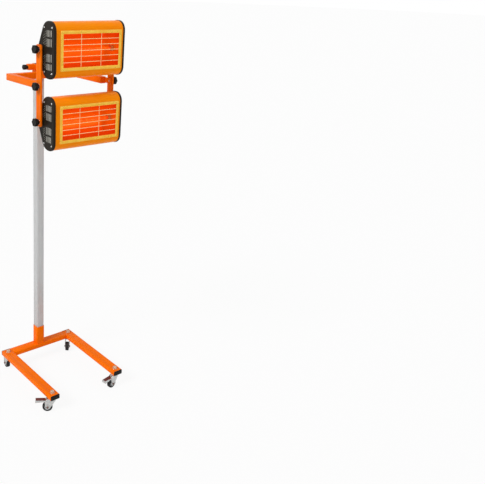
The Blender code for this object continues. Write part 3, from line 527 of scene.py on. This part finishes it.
def spun(work, profile, steps, axis="X", closed=False, middle=(0, 0, 0)):
    # A profile of (radius, along) pairs turned right round an axis.
    spots = [work.verts.new((radius, 0, along)) for radius, along in profile]
    pairs = list(zip(spots, spots[1:])) + ([(spots[-1], spots[0])] if closed else [])
    edges = [work.edges.new(pair) for pair in pairs]
    before = set(work.verts) - set(spots)
    bmesh.ops.spin(work, geom=spots + edges, cent=(0, 0, 0), axis=(0, 0, 1), angle=2 * math.pi, steps=steps,
                   use_merge=True)
    fresh = [spot for spot in work.verts if spot not in before]
    bmesh.ops.transform(work, matrix=Matrix.Translation(middle) @ turnTo[axis], verts=fresh)


def outlineFace(work, corners, rounds, steps):
    # A flat face in the plane of Y and Z, with an arc at each corner.
    spots = [work.verts.new((0, corner[0], corner[1])) for corner in corners]
    work.faces.new(spots)
    runs = []
    for index, spot in enumerate(spots):
        back = spots[index - 1].co - spot.co
        ahead = spots[(index + 1) % len(spots)].co - spot.co
        runs.append(rounds[index] / math.tan(back.angle(ahead) / 2))
    for spot, run in zip(spots, runs):
        ease(work, [spot], run, steps, "VERTICES", False)
    work.faces.ensure_lookup_table()
    return work.faces[0]


def inset(work, face, wide, deep=0):
    return bmesh.ops.inset_region(work, faces=[face], thickness=wide, depth=deep, use_even_offset=True,
                                  use_boundary=True)["faces"]


def shrunk(work, face, wide):
    # Moves a lone face's outline inwards.
    bmesh.ops.delete(work, geom=inset(work, face, wide), context="FACES")
    work.faces.ensure_lookup_table()
    return work.faces[0]


def vertsIn(items):
    return [item for item in items if isinstance(item, bmesh.types.BMVert)]


def shift(work, vector, spots=None):
    bmesh.ops.translate(work, vec=vector, verts=work.verts if spots is None else spots)


def thicken(work, face, vector):
    fresh = bmesh.ops.extrude_face_region(work, geom=[face])["geom"]
    shift(work, vector, vertsIn(fresh))


def tidy(work):
    bmesh.ops.remove_doubles(work, verts=work.verts, dist=weld)
    bmesh.ops.recalc_face_normals(work, faces=work.faces)


def takeIn(work, other, places=(Matrix.Identity(4),)):
    # Adds another shape to this one, once at each place.
    mesh = meshFrom(other, "taken")
    for place in places:
        before = set(work.verts)
        work.from_mesh(mesh)
        bmesh.ops.transform(work, matrix=place, verts=[spot for spot in work.verts if spot not in before])
    bpy.data.meshes.remove(mesh)


def looseObject(work):
    tidy(work)
    return intoScene("loose", meshFrom(work, "loose"))


def combined(work, joined=(), removed=()):
    # One solid made of a first shape, what is joined to it and what is cut out of it.
    base = looseObject(work)
    others = []
    for operation, shapes in (("UNION", joined), ("DIFFERENCE", removed)):
        for shape in shapes:
            other = looseObject(shape)
            others.append(other)
            change = base.modifiers.new("combine", "BOOLEAN")
            change.operation = operation
            change.solver = "EXACT"
            change.object = other
    bpy.context.view_layer.update()
    result = bmesh.new()
    result.from_object(base, bpy.context.evaluated_depsgraph_get())
    for item in others + [base]:
        mesh = item.data
        bpy.data.objects.remove(item)
        bpy.data.meshes.remove(mesh)
    return result


def addPiece(name, work, finish, body, stands=(), place=None, smooth=38, outward=None):
    if place is not None:
        bmesh.ops.transform(work, matrix=place, verts=work.verts)
    tidy(work)
    if outward is not None:         # an open shell: its farthest face looks this way
        farthest = max(work.faces, key=lambda face: face.calc_center_median().dot(outward))
        if farthest.normal.dot(outward) < 0:
            bmesh.ops.reverse_faces(work, faces=work.faces)
    mesh = meshFrom(work, name)
    mesh.materials.append(ready[finish])
    mesh.shade_smooth()
    mesh.set_sharp_from_angle(angle=math.radians(smooth))
    piece = intoScene(name, mesh)
    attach(piece, body)
    if stands:
        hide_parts(*stands)
    return piece


def addEdge(piece, width, segments=2, limit=50):
    edge = piece.modifiers.new("edge", "BEVEL")
    edge.width = width
    edge.segments = segments
    edge.limit_method = "ANGLE"
    edge.angle_limit = math.radians(limit)


def easedCopy(nodeName, finish, edge, steps=2, limit=30, flat=0.5):
    # A CAD node's own shape, with its loose triangles merged and its sharp edges eased.
    work = bmesh.new()
    work.from_mesh(nodes[nodeName].data)
    bmesh.ops.remove_doubles(work, verts=work.verts, dist=weld * 2)
    bmesh.ops.dissolve_limit(work, angle_limit=math.radians(flat), verts=work.verts, edges=work.edges)
    ease(work, sharpEdges(work, limit), edge, steps)
    addPiece(nodeName + "_dressed", work, finish, nodes[nodeName]["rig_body"], (nodeName,))


# Nodes whose own shape is right: finish, slot, width of the eased edge, names
easedNodes = (
    ("orangePaint", "orange_paint", 0.0006,
     ("base_leg_left", "base_leg_right", "base_cross_tube", "pole_socket")),
    ("orangePaint", "orange_paint", 0.0008, ("carriage_sleeve",)),
    ("orangePaint", "orange_paint", 0.0006, ("yoke_arm_left", "yoke_arm_right", "yoke_cross_tube")),
    ("orangePaint", "orange_paint", 0.0009, ("side_bar_left", "side_bar_right")),
    ("bareSteel", "bare_steel", 0.0004, ("pole",)),
    ("knobPlastic", "black_plastic", 0.0009, ("pole_top_cap",)),
    ("zincPlate", "zinc_plate", 0.0007, ("socket_bolt",)),
    ("knobPlastic", "black_plastic", 0.0009, tuple("leg_plug_" + spot for spot in castorSpots)),
    ("zincWithPaintedReflection", "zinc_plate", 0.0005, tuple("castor_stem_" + spot for spot in castorSpots)),
    ("zincPlate", "zinc_plate", 0.0004, tuple("castor_fork_" + spot for spot in castorSpots)),
    ("knobPlastic", "black_plastic", 0.0004, tuple("cable_gland_" + level for level in levels)),
    ("ceramicWithPaintedGlow", "white_ceramic", 0.0008,
     tuple("tube_holder_" + side + "_" + level for level in levels for side in sides)),
)
for finish, slotName, edge, nodeNames in easedNodes:
    for nodeName in nodeNames:
        easedCopy(nodeName, finish, edge)
print("tubes, pole, plugs and castor forks dressed")


knob = {
    "lobes": 6, "valley": 0.80, "roundShare": 0.205, "roundSteps": 4, "edgeShare": 0.105, "edgeSteps": 3,
    "crown": ((0.84, 0), (0.78, -0.0010), (0.40, 0.0002), (0.30, 0.0008)),     # share of the face before, rise
    "collarShare": 0.34, "collarWide": 0.52, "collarSteps": 36,
    "washerWide": 0.60, "washerBore": 0.0043, "washerThick": 0.0012, "washerSteps": 32, "washerEdge": 0.0002,
    "studRadius": 0.0039, "studSteps": 20, "tip": 0.0006, "sharp": 60,
}


def lobedHead(s, radius, near, far):
    work = bmesh.new()
    bmesh.ops.create_circle(work, cap_ends=True, segments=s["lobes"] * 2, radius=radius)
    work.verts.ensure_lookup_table()
    valleys = [spot for index, spot in enumerate(work.verts) if index % 2]
    bmesh.ops.scale(work, vec=(s["valley"], s["valley"], 1), verts=valleys)
    ease(work, work.verts, radius * s["roundShare"], s["roundSteps"], "VERTICES", False)
    reach = max(spot.co.length for spot in work.verts)
    bmesh.ops.scale(work, vec=(radius / reach, radius / reach, 1), verts=work.verts)
    work.faces.ensure_lookup_table()
    thicken(work, work.faces[0], (0, 0, far - near))
    tidy(work)
    ease(work, sharpEdges(work, s["sharp"]), radius * s["edgeShare"], s["edgeSteps"])
    crown = max(work.faces, key=lambda face: (round(face.calc_center_median().z, 6), face.calc_area()))
    for share, rise in s["crown"]:
        crown = bmesh.ops.extrude_discrete_faces(work, faces=[crown])["faces"][0]
        bmesh.ops.scale(work, vec=(share, share, 1), verts=crown.verts)
        shift(work, (0, 0, rise), crown.verts)
    bmesh.ops.transform(work, matrix=turnTo["X"] @ Matrix.Translation((0, 0, near)), verts=work.verts)
    return work


def addKnob(nodeName, seat, outward):
    # The knob's own +X points out along the stud. Sizes come from the CAD node's box.
    s = knob
    low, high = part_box(nodeName)
    reach = high.x - seat.x if outward > 0 else seat.x - low.x
    inward = seat.x - low.x if outward > 0 else high.x - seat.x
    radius = (high.z - low.z) / 2
    collar = reach * s["collarShare"]
    wide = radius * s["collarWide"]
    start, tip, stud, bore = s["washerThick"], s["tip"], s["studRadius"], s["washerBore"]
    place = turnedAt(seat, 0 if outward > 0 else math.pi)
    body = nodes[nodeName]["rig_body"]
    skirt = bmesh.new()
    flare = wide + 2 * tip
    spun(skirt, [(0, collar + tip), (flare, collar + tip), (wide, collar - 2 * tip),
                 (wide - tip, start + 3 * tip), (flare, start + tip), (flare, start), (0, start)],
         s["collarSteps"])
    head = combined(lobedHead(s, radius, collar, reach), [skirt])
    addPiece(nodeName + "_head", head, "knobPlastic", body, (nodeName,), place)
    work = bmesh.new()
    spun(work, [(0, start), (stud, start), (stud, tip - inward), (stud - tip, -inward), (0, -inward)],
         s["studSteps"])
    addPiece(nodeName + "_stud", work, "zincPlate", body, (nodeName,), place)
    work = bmesh.new()
    rim = radius * s["washerWide"]
    spun(work, [(bore, 0), (rim, 0), (rim, start), (bore, start)], s["washerSteps"], closed=True)
    ease(work, sharpEdges(work, s["sharp"]), s["washerEdge"], 1)
    addPiece(nodeName + "_washer", work, "screwSteel", body, (nodeName,), place)


for level in ("middle",) + levels:
    for side, sign in sides.items():
        nodeName = "knob_" + level + "_" + side
        addKnob(nodeName, pivots[nodeName + "_turn"], sign)
addKnob("clamp_knob", pivots["clamp_knob_turn"], -1)
print("knobs made")


headShape = {
    "back": 0.030, "shoulder": 0.024,           # sharp corners behind and ahead of the pivot
    "backRound": 0.016, "shoulderRound": 0.045, "frontRound": 0.040, "steps": 10,
    "inset": 0.0015, "wall": 0.002, "lap": 0.009, "windowPast": 0.006, "edge": 0.0005,
}
capShape = {
    "gap": 0.0003, "deep": 0.0100, "edge": 0.003, "edgeSteps": 3, "rim": 0.0065, "rimDeep": 0.0008,
    "flat": 0.99,                   # a face whose normal lies at least this far along X is flat
    "face": 0.0012, "wall": 0.004, "bossWide": 0.030, "bossInside": 0.015, "bossSides": 40,
    "bore": 0.0089, "boreSides": 28, "past": 0.01, "cutReach": 0.006,       # how far the cuts pass the faces
    "slotWide": 0.0050, "slotFirst": 0.046, "slotPitch": 0.0105, "slotCount": 4, "slotRound": 0.0024,
    "slotSteps": 4, "slotGroups": ((0.0305, 0.033), (0.067, 0.027)),        # height of the middle, length
    "holeWide": 0.0040, "holeSides": 12,
    "holeRows": ((0.0375, (0.0185, 0.0275, 0.0365, 0.0455, 0.058, 0.067, 0.076)),      # forward, heights
                 (0.0285, (0.023, 0.032, 0.041, 0.0535, 0.0625, 0.0715)),
                 (0.0195, (0.0275, 0.0365, 0.049, 0.058))),
    "screwSpots": ((0.084, 0.0915), (0.0235, 0.0895)),      # forward of the pivot, up and down
    "screwWide": 0.0078, "screwHigh": 0.0022, "screwSteps": 24, "screwSink": 0.0002,
    "screwProfile": ((0, 1), (0.5, 0.97), (0.82, 0.78), (1, 0.34), (1, 0), (0, 0)),
    "screwTurn": 37, "turnForward": 900,        # degrees, and degrees for each metre forward
    "crossLong": 0.0050, "crossWide": 0.0010, "crossDeep": 0.0013,
    "ventThick": 0.0008, "ventBack": 0.0026, "ventShrink": 0.010, "ventClear": 0.0004,
}


def headOutline(work, level):
    # The head from its side, drawn about the pivot.
    s = headShape
    low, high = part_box("end_cap_left_" + level)
    half = (high.z - low.z) / 2
    front = low.y - pivots["head_" + level + "_tilt"].y
    corners = [(s["back"], 0), (-s["shoulder"], half), (front, half), (front, -half), (-s["shoulder"], -half)]
    rounds = [s["backRound"], s["shoulderRound"], s["frontRound"], s["frontRound"], s["shoulderRound"]]
    return outlineFace(work, corners, rounds, s["steps"])


def acrossOf(face):
    return face.calc_center_median().x


def capPlate(level, inner):
    # The cap's plate: rounded rim, sunk panel and hollow back.
    s = capShape
    work = bmesh.new()
    face = headOutline(work, level)
    shift(work, (inner, 0, 0))
    thicken(work, face, (s["deep"], 0, 0))
    tidy(work)
    ease(work, max(work.faces, key=acrossOf).edges, s["edge"], s["edgeSteps"])
    flat = [item for item in work.faces if abs(item.normal.x) > s["flat"]]
    top, foot = max(flat, key=acrossOf), min(flat, key=acrossOf)
    inset(work, top, s["rim"])
    inset(work, top, s["rimDeep"], -s["rimDeep"])
    inset(work, foot, s["wall"])
    hollow = bmesh.ops.extrude_face_region(work, geom=[foot])["geom"]
    bmesh.ops.delete(work, geom=[foot], context="FACES_ONLY")
    shift(work, (s["deep"] - s["face"] - s["rimDeep"], 0, 0), vertsIn(hollow))
    return work


def capCuts(inner, boss):
    # The stud's bore, the vent slots and the round vent holes.
    s = capShape
    near, far = inner + s["deep"] - s["cutReach"], inner + s["deep"] + s["cutReach"]
    cuts = bmesh.new()
    rod(cuts, s["bore"] / 2, inner - s["bossInside"] - s["past"], boss + s["past"], sides=s["boreSides"])
    wide = s["slotWide"] / 2
    for way in (-1, 1):
        for middle, long in s["slotGroups"]:
            for number in range(s["slotCount"]):
                along = -(s["slotFirst"] + number * s["slotPitch"])
                foot, top = way * middle - long / 2, way * middle + long / 2
                corners = [(along - wide, foot), (along + wide, foot), (along + wide, top), (along - wide, top)]
                slot = bmesh.new()
                face = outlineFace(slot, corners, [s["slotRound"]] * 4, s["slotSteps"])
                shift(slot, (near, 0, 0))
                thicken(slot, face, (2 * s["cutReach"], 0, 0))
                takeIn(cuts, slot)
        for forward, heights in s["holeRows"]:
            for up in heights:
                rod(cuts, s["holeWide"] / 2, near, far, sides=s["holeSides"], middle=(0, -forward, way * up))
    return cuts


def capScrews(outer):
    # Four pan heads with a cross recess.
    s = capShape
    wide, tall = s["screwWide"] / 2, s["screwHigh"]
    head = bmesh.new()
    spun(head, [(wide * share, tall * rise) for share, rise in s["screwProfile"]], s["screwSteps"])
    long, thin = s["crossLong"] / 2, s["crossWide"] / 2
    recesses = []
    for along, up in ((long, thin), (thin, long)):
        recess = bmesh.new()
        block(recess, (tall - s["crossDeep"], -along, -up), (tall * 2, along, up))
        recesses.append(recess)
    seat = outer - s["rimDeep"] - s["screwSink"]
    places = []
    for forward, up in s["screwSpots"]:
        for way in (-1, 1):
            angle = math.radians(s["screwTurn"] * way + s["turnForward"] * forward)
            places.append(turnedAt((seat, -forward, way * up), angle, "X"))
    four = bmesh.new()
    takeIn(four, combined(head, [], recesses), places)
    return four


def capVent(level, outer):
    # The bright sheet that shows behind the slots and holes.
    s = capShape
    vent = bmesh.new()
    face = shrunk(vent, headOutline(vent, level), s["ventShrink"])
    back = outer - s["ventBack"]
    shift(vent, (back, 0, 0))
    thicken(vent, face, (s["ventThick"], 0, 0))
    bore = bmesh.new()
    rod(bore, s["bossWide"] / 2 + s["ventClear"], back - s["past"], back + s["past"], sides=s["bossSides"])
    return combined(vent, [], [bore])


def addCap(level, side, sign):
    # Drawn for the +X side about the pivot, and mirrored for the other.
    s = capShape
    body, cadName = "head_" + level, "end_cap_" + side + "_" + level
    low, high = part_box(cadName)
    housingLow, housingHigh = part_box("housing_" + level)
    pivot = pivots[body + "_tilt"]
    inner = (housingHigh.x - housingLow.x) / 2 + s["gap"]
    outer = inner + s["deep"]
    boss = high.x - pivot.x if sign > 0 else pivot.x - low.x
    middle = Matrix.Translation((middleOf("housing_" + level).x, pivot.y, pivot.z))
    place = middle @ Matrix.Diagonal((sign, 1, 1, 1))
    bossShape = bmesh.new()
    rod(bossShape, s["bossWide"] / 2, inner - s["bossInside"], boss, sides=s["bossSides"])
    shell = combined(capPlate(level, inner), [bossShape], [capCuts(inner, boss)])
    addPiece(cadName + "_shell", shell, "capPlastic", body, (cadName,), place)
    addPiece(cadName + "_screws", capScrews(outer), "screwSteel", body, (), place, smooth=28)
    addPiece(cadName + "_vent", capVent(level, outer), "ventSheet", body, (), place)


def addHousing(level):
    s = headShape
    body, cadName = "head_" + level, "housing_" + level
    low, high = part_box(cadName)
    guardLow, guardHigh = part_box("guard_" + level)
    pivot = pivots[body + "_tilt"]
    work = bmesh.new()
    face = shrunk(work, headOutline(work, level), s["inset"])
    inset(work, face, s["wall"])
    bmesh.ops.delete(work, geom=[face], context="FACES")
    fresh = bmesh.ops.extrude_face_region(work, geom=list(work.faces))["geom"]
    shift(work, (high.x - low.x, 0, 0), vertsIn(fresh))
    shift(work, (low.x, pivot.y, pivot.z))
    window = bmesh.new()
    block(window, (guardLow.x + s["lap"], low.y - s["windowPast"], guardLow.z + s["lap"]),
          (guardHigh.x - s["lap"], low.y + s["windowPast"], guardHigh.z - s["lap"]))
    shell = combined(work, [], [window])
    addEdge(addPiece(cadName + "_shell", shell, "headPaintWithPaintedGlow", body, (cadName,)), s["edge"])


guardShape = {
    "sheet": 0.0015, "corner": 0.0030, "cornerSteps": 4, "ledge": 0.014, "edge": 0.0004, "gap": 0.0003,
    "step": 0.0040, "stepRise": 0.0011,
    "wire": 0.0013, "wireSides": 12, "rows": 5, "rowPitch": 0.0233, "columns": 2, "columnPitch": 0.103,
    "rowBehind": 0.00064, "columnBehind": 0.00221,      # rows behind the frame's back, columns behind the rows
    "reachShare": 0.72,             # how far into the frame's width a wire's end goes
}


def addGuard(level):
    s = guardShape
    body, cadName = "head_" + level, "guard_" + level
    low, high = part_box(cadName)
    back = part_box("housing_" + level)[0].y - s["gap"]
    work = bmesh.new()
    corners = [(low.x, low.z), (high.x, low.z), (high.x, high.z), (low.x, high.z)]
    thicken(work, outlineFace(work, corners, [s["corner"]] * 4, s["cornerSteps"]), (s["sheet"], 0, 0))
    opening, band, bandOpening = bmesh.new(), bmesh.new(), bmesh.new()
    top = s["sheet"] + s["stepRise"]
    for part, rim, near, far in ((opening, s["ledge"], -s["sheet"], 2 * top),
                                 (band, s["step"], s["sheet"] / 2, top),
                                 (bandOpening, s["ledge"] - s["step"], -s["sheet"], 2 * top)):
        block(part, (near, low.x + rim, low.z + rim), (far, high.x - rim, high.z - rim))
    work = combined(work, [combined(band, [], [bandOpening])], [opening])
    # drawn with its normal along +X and its width along Y, and stood up to face forward
    stand = Matrix(((0, 1, 0, 0), (-1, 0, 0, back), (0, 0, 1, 0), (0, 0, 0, 1)))
    plate = addPiece(cadName + "_frame", work, "guardGold", body, (cadName,), stand)
    addEdge(plate, s["edge"])
    wires = bmesh.new()
    middle = (low + high) / 2
    reachX = (high.x - low.x) / 2 - s["ledge"] * s["reachShare"]
    reachZ = (high.z - low.z) / 2 - s["ledge"] * s["reachShare"]
    rowY = back + s["rowBehind"]
    for number in range(s["rows"]):
        up = (number - (s["rows"] - 1) / 2) * s["rowPitch"]
        rod(wires, s["wire"], -reachX, reachX, "X", s["wireSides"], (middle.x, rowY, middle.z + up))
    for number in range(s["columns"]):
        across = (number - (s["columns"] - 1) / 2) * s["columnPitch"]
        rod(wires, s["wire"], -reachZ, reachZ, "Z", s["wireSides"],
            (middle.x + across, rowY + s["columnBehind"], middle.z))
    addPiece(cadName + "_wires", wires, "wirePale", body, (cadName,))


reflectorShape = {
    "sheet": 0.001, "deep": 0.064, "backHigh": 0.058, "round": 0.024, "flange": 0.011, "steps": 12,
}


def addReflector(level):
    s = reflectorShape
    body, cadName = "head_" + level, "reflector_" + level
    low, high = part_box("guard_" + level)
    ledge = guardShape["ledge"]
    start, end = low.x + ledge, high.x - ledge
    mouth = (high.z - low.z) / 2 - ledge
    middle = (low.z + high.z) / 2
    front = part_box(cadName)[0].y
    back, half = front + s["deep"], s["backHigh"] / 2
    work = bmesh.new()
    profile = [(front, -mouth), (back, -half), (back, half), (front, mouth)]
    spots = [work.verts.new((start, y, middle + z)) for y, z in profile]
    edges = [work.edges.new(pair) for pair in zip(spots, spots[1:])]
    fresh = bmesh.ops.extrude_edge_only(work, edges=edges)["geom"]
    shift(work, (end - start, 0, 0), vertsIn(fresh))
    corners = [edge for edge in work.edges if len(edge.link_faces) == 2]
    ease(work, corners, s["round"], s["steps"], clamp=False)
    for across in (start, end):     # an end plate closes each end of the trough
        rim = [edge for edge in work.edges
               if edge.is_boundary and all(abs(spot.co.x - across) < weld for spot in edge.verts)]
        tips = [spot for edge in rim for spot in edge.verts if abs(spot.co.y - front) < weld]
        rim.append(work.edges.new(tips))
        bmesh.ops.contextual_create(work, geom=rim)
    lip = [edge for edge in work.edges if edge.is_boundary]
    fresh = vertsIn(bmesh.ops.extrude_edge_only(work, edges=lip)["geom"])
    spread = ((end - start) / 2 + s["flange"]) / ((end - start) / 2)
    rise = (mouth + s["flange"]) / mouth
    centre = Matrix.Translation((-(start + end) / 2, 0, -middle))
    bmesh.ops.scale(work, vec=(spread, 1, rise), space=centre, verts=fresh)
    piece = addPiece(cadName + "_trough", work, "goldReflector_" + level, body, (cadName,),
                     smooth=30, outward=Vector((0, 1, 0)))
    sheet = piece.modifiers.new("sheet", "SOLIDIFY")
    sheet.thickness = s["sheet"]
    sheet.offset = 1


tubeShape = {
    "neckShare": 0.72, "holderGap": 0.0015, "taper": 0.004, "steps": 32, "coilShort": 0.008,
    "coilRadius": 0.0032, "wire": 0.0006, "wireSides": 6, "turnsPerMetre": 260, "turnSteps": 12,
}


def addTube(level):
    s = tubeShape
    body, cadName = "head_" + level, "infrared_tube_" + level
    low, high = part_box(cadName)
    middle = (low + high) / 2
    radius, half = (high.z - low.z) / 2, (high.x - low.x) / 2
    neck = radius * s["neckShare"]
    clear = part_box("tube_holder_right_" + level)[0].x - middle.x - s["holderGap"]
    wide = clear - s["taper"]
    work = bmesh.new()
    spun(work, [(0, half), (neck, half), (neck, clear), (radius, wide), (radius, -wide), (neck, -clear),
                (neck, -half), (0, -half)], s["steps"], middle=middle)
    addPiece(cadName + "_quartz", work, "hotQuartz", body, (cadName,))
    coil = bmesh.new()
    reach = clear - s["coilShort"]
    turns = int(2 * reach * s["turnsPerMetre"])
    steps = turns * s["turnSteps"]
    ring = bmesh.ops.create_circle(coil, cap_ends=False, segments=s["wireSides"], radius=s["wire"],
                                   matrix=Matrix.Translation((-reach, s["coilRadius"], 0)))["verts"]
    bmesh.ops.spin(coil, geom=list(ring) + list(coil.edges), cent=(-reach, 0, 0), axis=(1, 0, 0),
                   dvec=(2 * reach / steps, 0, 0), angle=2 * math.pi * turns, steps=steps)
    bmesh.ops.holes_fill(coil, edges=[edge for edge in coil.edges if edge.is_boundary])
    addPiece(cadName + "_coil", coil, "hotCoil", body, (), Matrix.Translation(middle), smooth=60)


for level in levels:
    addHousing(level)
    for side, sign in sides.items():
        addCap(level, side, sign)
    addGuard(level)
    addReflector(level)
    addTube(level)
    print("head made:", level)


wheelShape = {                      # tyre and hub: radius and distance from the wheel's middle plane
    "steps": 56,
    "tyre": ((0.0152, 0.0086), (0.0160, 0.0090), (0.0222, 0.0090), (0.0236, 0.0085), (0.0246, 0.0072),
             (0.0250, 0.0050)),
    "hub": ((0.0033, 0.0100), (0.0064, 0.0100), (0.0070, 0.0094), (0.0072, 0.0064), (0.0126, 0.0056),
            (0.0132, 0.0084), (0.0138, 0.0088), (0.0150, 0.0088)),
}


def castorPlace(spot):
    # The stem's middle, the wheel's middle and the way that the castor points.
    stem, wheel = middleOf("castor_stem_" + spot), middleOf("castor_wheel_" + spot)
    return stem, wheel, math.atan2(wheel.y - stem.y, wheel.x - stem.x)


def addWheel(spot):
    wheel, heading = castorPlace(spot)[1:]
    place = turnedAt(wheel, heading)
    body, cadName = "wheel_" + spot, "castor_wheel_" + spot
    for part, finish, slotName in (("tyre", "tyreRubber", "dark_rubber"), ("hub", "hubPlastic", "zinc_plate")):
        half = list(wheelShape[part])
        profile = [(radius, -along) for radius, along in half] + half[::-1]
        work = bmesh.new()
        spun(work, profile, wheelShape["steps"], "Y", closed=True)
        addPiece("castor_" + part + "_" + spot, work, finish, body, (cadName,), place, smooth=32)


axleShape = {
    "pin": 0.003, "pinSides": 24, "wide": 0.0055, "head": 0.0033, "headSteps": 28,
    "profile": ((0, 0), (0.62, 0), (0.90, 0.22), (1, 0.5), (1, 1), (0, 1)),     # shares of wide and head
}


def addAxle(spot):
    s = axleShape
    wheel, heading = castorPlace(spot)[1:]
    cadName = "castor_axle_" + spot
    across = Vector((-math.sin(heading), math.cos(heading), 0))
    along = [(corner.co - wheel).dot(across) for corner in nodes[cadName].data.vertices]
    low, high = min(along), max(along)
    place = turnedAt(wheel, heading)
    work = bmesh.new()
    rod(work, s["pin"], low + s["head"] / 2, high - s["head"] / 2, "Y", s["pinSides"])
    ends = []
    for way, end in ((-1, low), (1, high)):
        cap = bmesh.new()
        spun(cap, [(s["wide"] * share, s["head"] * deep) for share, deep in s["profile"]], s["headSteps"])
        bmesh.ops.transform(cap, matrix=turnedAt((0, end, 0), -way * math.pi / 2), verts=cap.verts)
        ends.append(cap)
    bolt = combined(work, ends)
    addPiece(cadName + "_bolt", bolt, "axlePaint", "castor_" + spot, (cadName,), place)


pedalShape = {
    "reach": 0.083, "top": 0.0036, "sheet": 0.0014, "sheetEdge": 0.00048, "sharp": 60,
    "channelFrom": 0.008, "channelHalf": 0.0124, "channelHigh": 0.0075, "tipHigh": 0.0125,
    "armHalf": 0.0098, "arm": 0.0062, "armPast": 0.004, "armSink": 0.0004, "edge": 0.0012,
    "shoe": 0.0068, "shoeBack": 0.0045, "shoeAhead": 0.0035, "shoeSink": 0.0006,
    "bore": 0.0024, "boreHalf": 0.02, "boreSides": 20,
    "padFrom": 0.004, "padShort": 0.0022, "padHalf": 0.0098, "padThick": 0.0026, "padGap": 0.0001,
    "padEdge": 0.00096, "ribs": 8, "ribFrom": 0.010, "ribTo": 0.005, "ribHigh": 0.0007, "ribSink": 0.001,
    "ribThick": 0.0018, "ribEdge": 0.0004,
    "ribShare": 0.82,               # the ribs' length as a share of the pad's width
}


def pedalLever(s, away):
    # A folded channel on an arm and shoe that turn on the fork's pin.
    start, top = away + s["channelFrom"], s["top"]
    channel = bmesh.new()
    block(channel, (start, -s["channelHalf"], top - s["channelHigh"]), (s["reach"], s["channelHalf"], top))
    for corner in channel.verts:        # the sides are deeper at the tip
        if corner.co.x > start + s["sheet"] and corner.co.z < 0:
            corner.co.z = top - s["tipHigh"]
    tidy(channel)
    foot = min(channel.faces, key=lambda face: face.calc_center_median().z)
    inset(channel, foot, s["sheet"])
    hollow = bmesh.ops.extrude_discrete_faces(channel, faces=[foot])["faces"][0]
    for corner in hollow.verts:
        corner.co.z = top - s["sheet"]
    tidy(channel)
    ease(channel, sharpEdges(channel, s["sharp"]), s["sheetEdge"], 2)
    arm, shoe, bore = bmesh.new(), bmesh.new(), bmesh.new()
    block(arm, (away - s["armPast"], -s["armHalf"], top - s["arm"]),
          (start + s["armPast"], s["armHalf"], top - s["armSink"]), s["edge"])
    block(shoe, (away - s["shoeBack"], -s["armHalf"], -s["shoe"]),
          (away + s["shoeAhead"], s["armHalf"], top - s["shoeSink"]), s["edge"])
    rod(bore, s["bore"], -s["boreHalf"], s["boreHalf"], "Y", s["boreSides"], (away, 0, 0))
    return combined(channel, [arm, shoe], [bore])


def pedalPad(s, away):
    start, end, crown = away + s["padFrom"], s["reach"] - s["padShort"], s["top"] + s["padThick"]
    pad, ribs = bmesh.new(), bmesh.new()
    block(pad, (start, -s["padHalf"], s["top"] + s["padGap"]), (end, s["padHalf"], crown), s["padEdge"], 3)
    pitch = (end - start - s["ribFrom"] - s["ribTo"]) / (s["ribs"] - 1)
    thick, half = s["ribThick"] / 2, s["padHalf"] * s["ribShare"]
    for number in range(s["ribs"]):
        along = start + s["ribFrom"] + number * pitch
        block(ribs, (along - thick, -half, crown - s["ribSink"]), (along + thick, half, crown + s["ribHigh"]),
              s["ribEdge"], 1)
    return combined(pad, [ribs])


def addPedal(spot):
    s = pedalShape
    stem, wheel, heading = castorPlace(spot)
    pin = pivots["pedal_" + spot + "_press"]
    away = math.hypot(pin.x - stem.x, pin.y - stem.y)
    place = turnedAt((stem.x, stem.y, pin.z), heading)
    body, cadName = "pedal_" + spot, "brake_pedal_" + spot
    addPiece(cadName + "_lever", pedalLever(s, away), "zincPlate", body, (cadName,), place)
    addPiece(cadName + "_pad", pedalPad(s, away), "pedalRed", body, (cadName,), place)


for spot in castorSpots:
    addWheel(spot)
    addAxle(spot)
for spot in castorSpots[:2]:
    addPedal(spot)
print("castor wheels and pedals made")
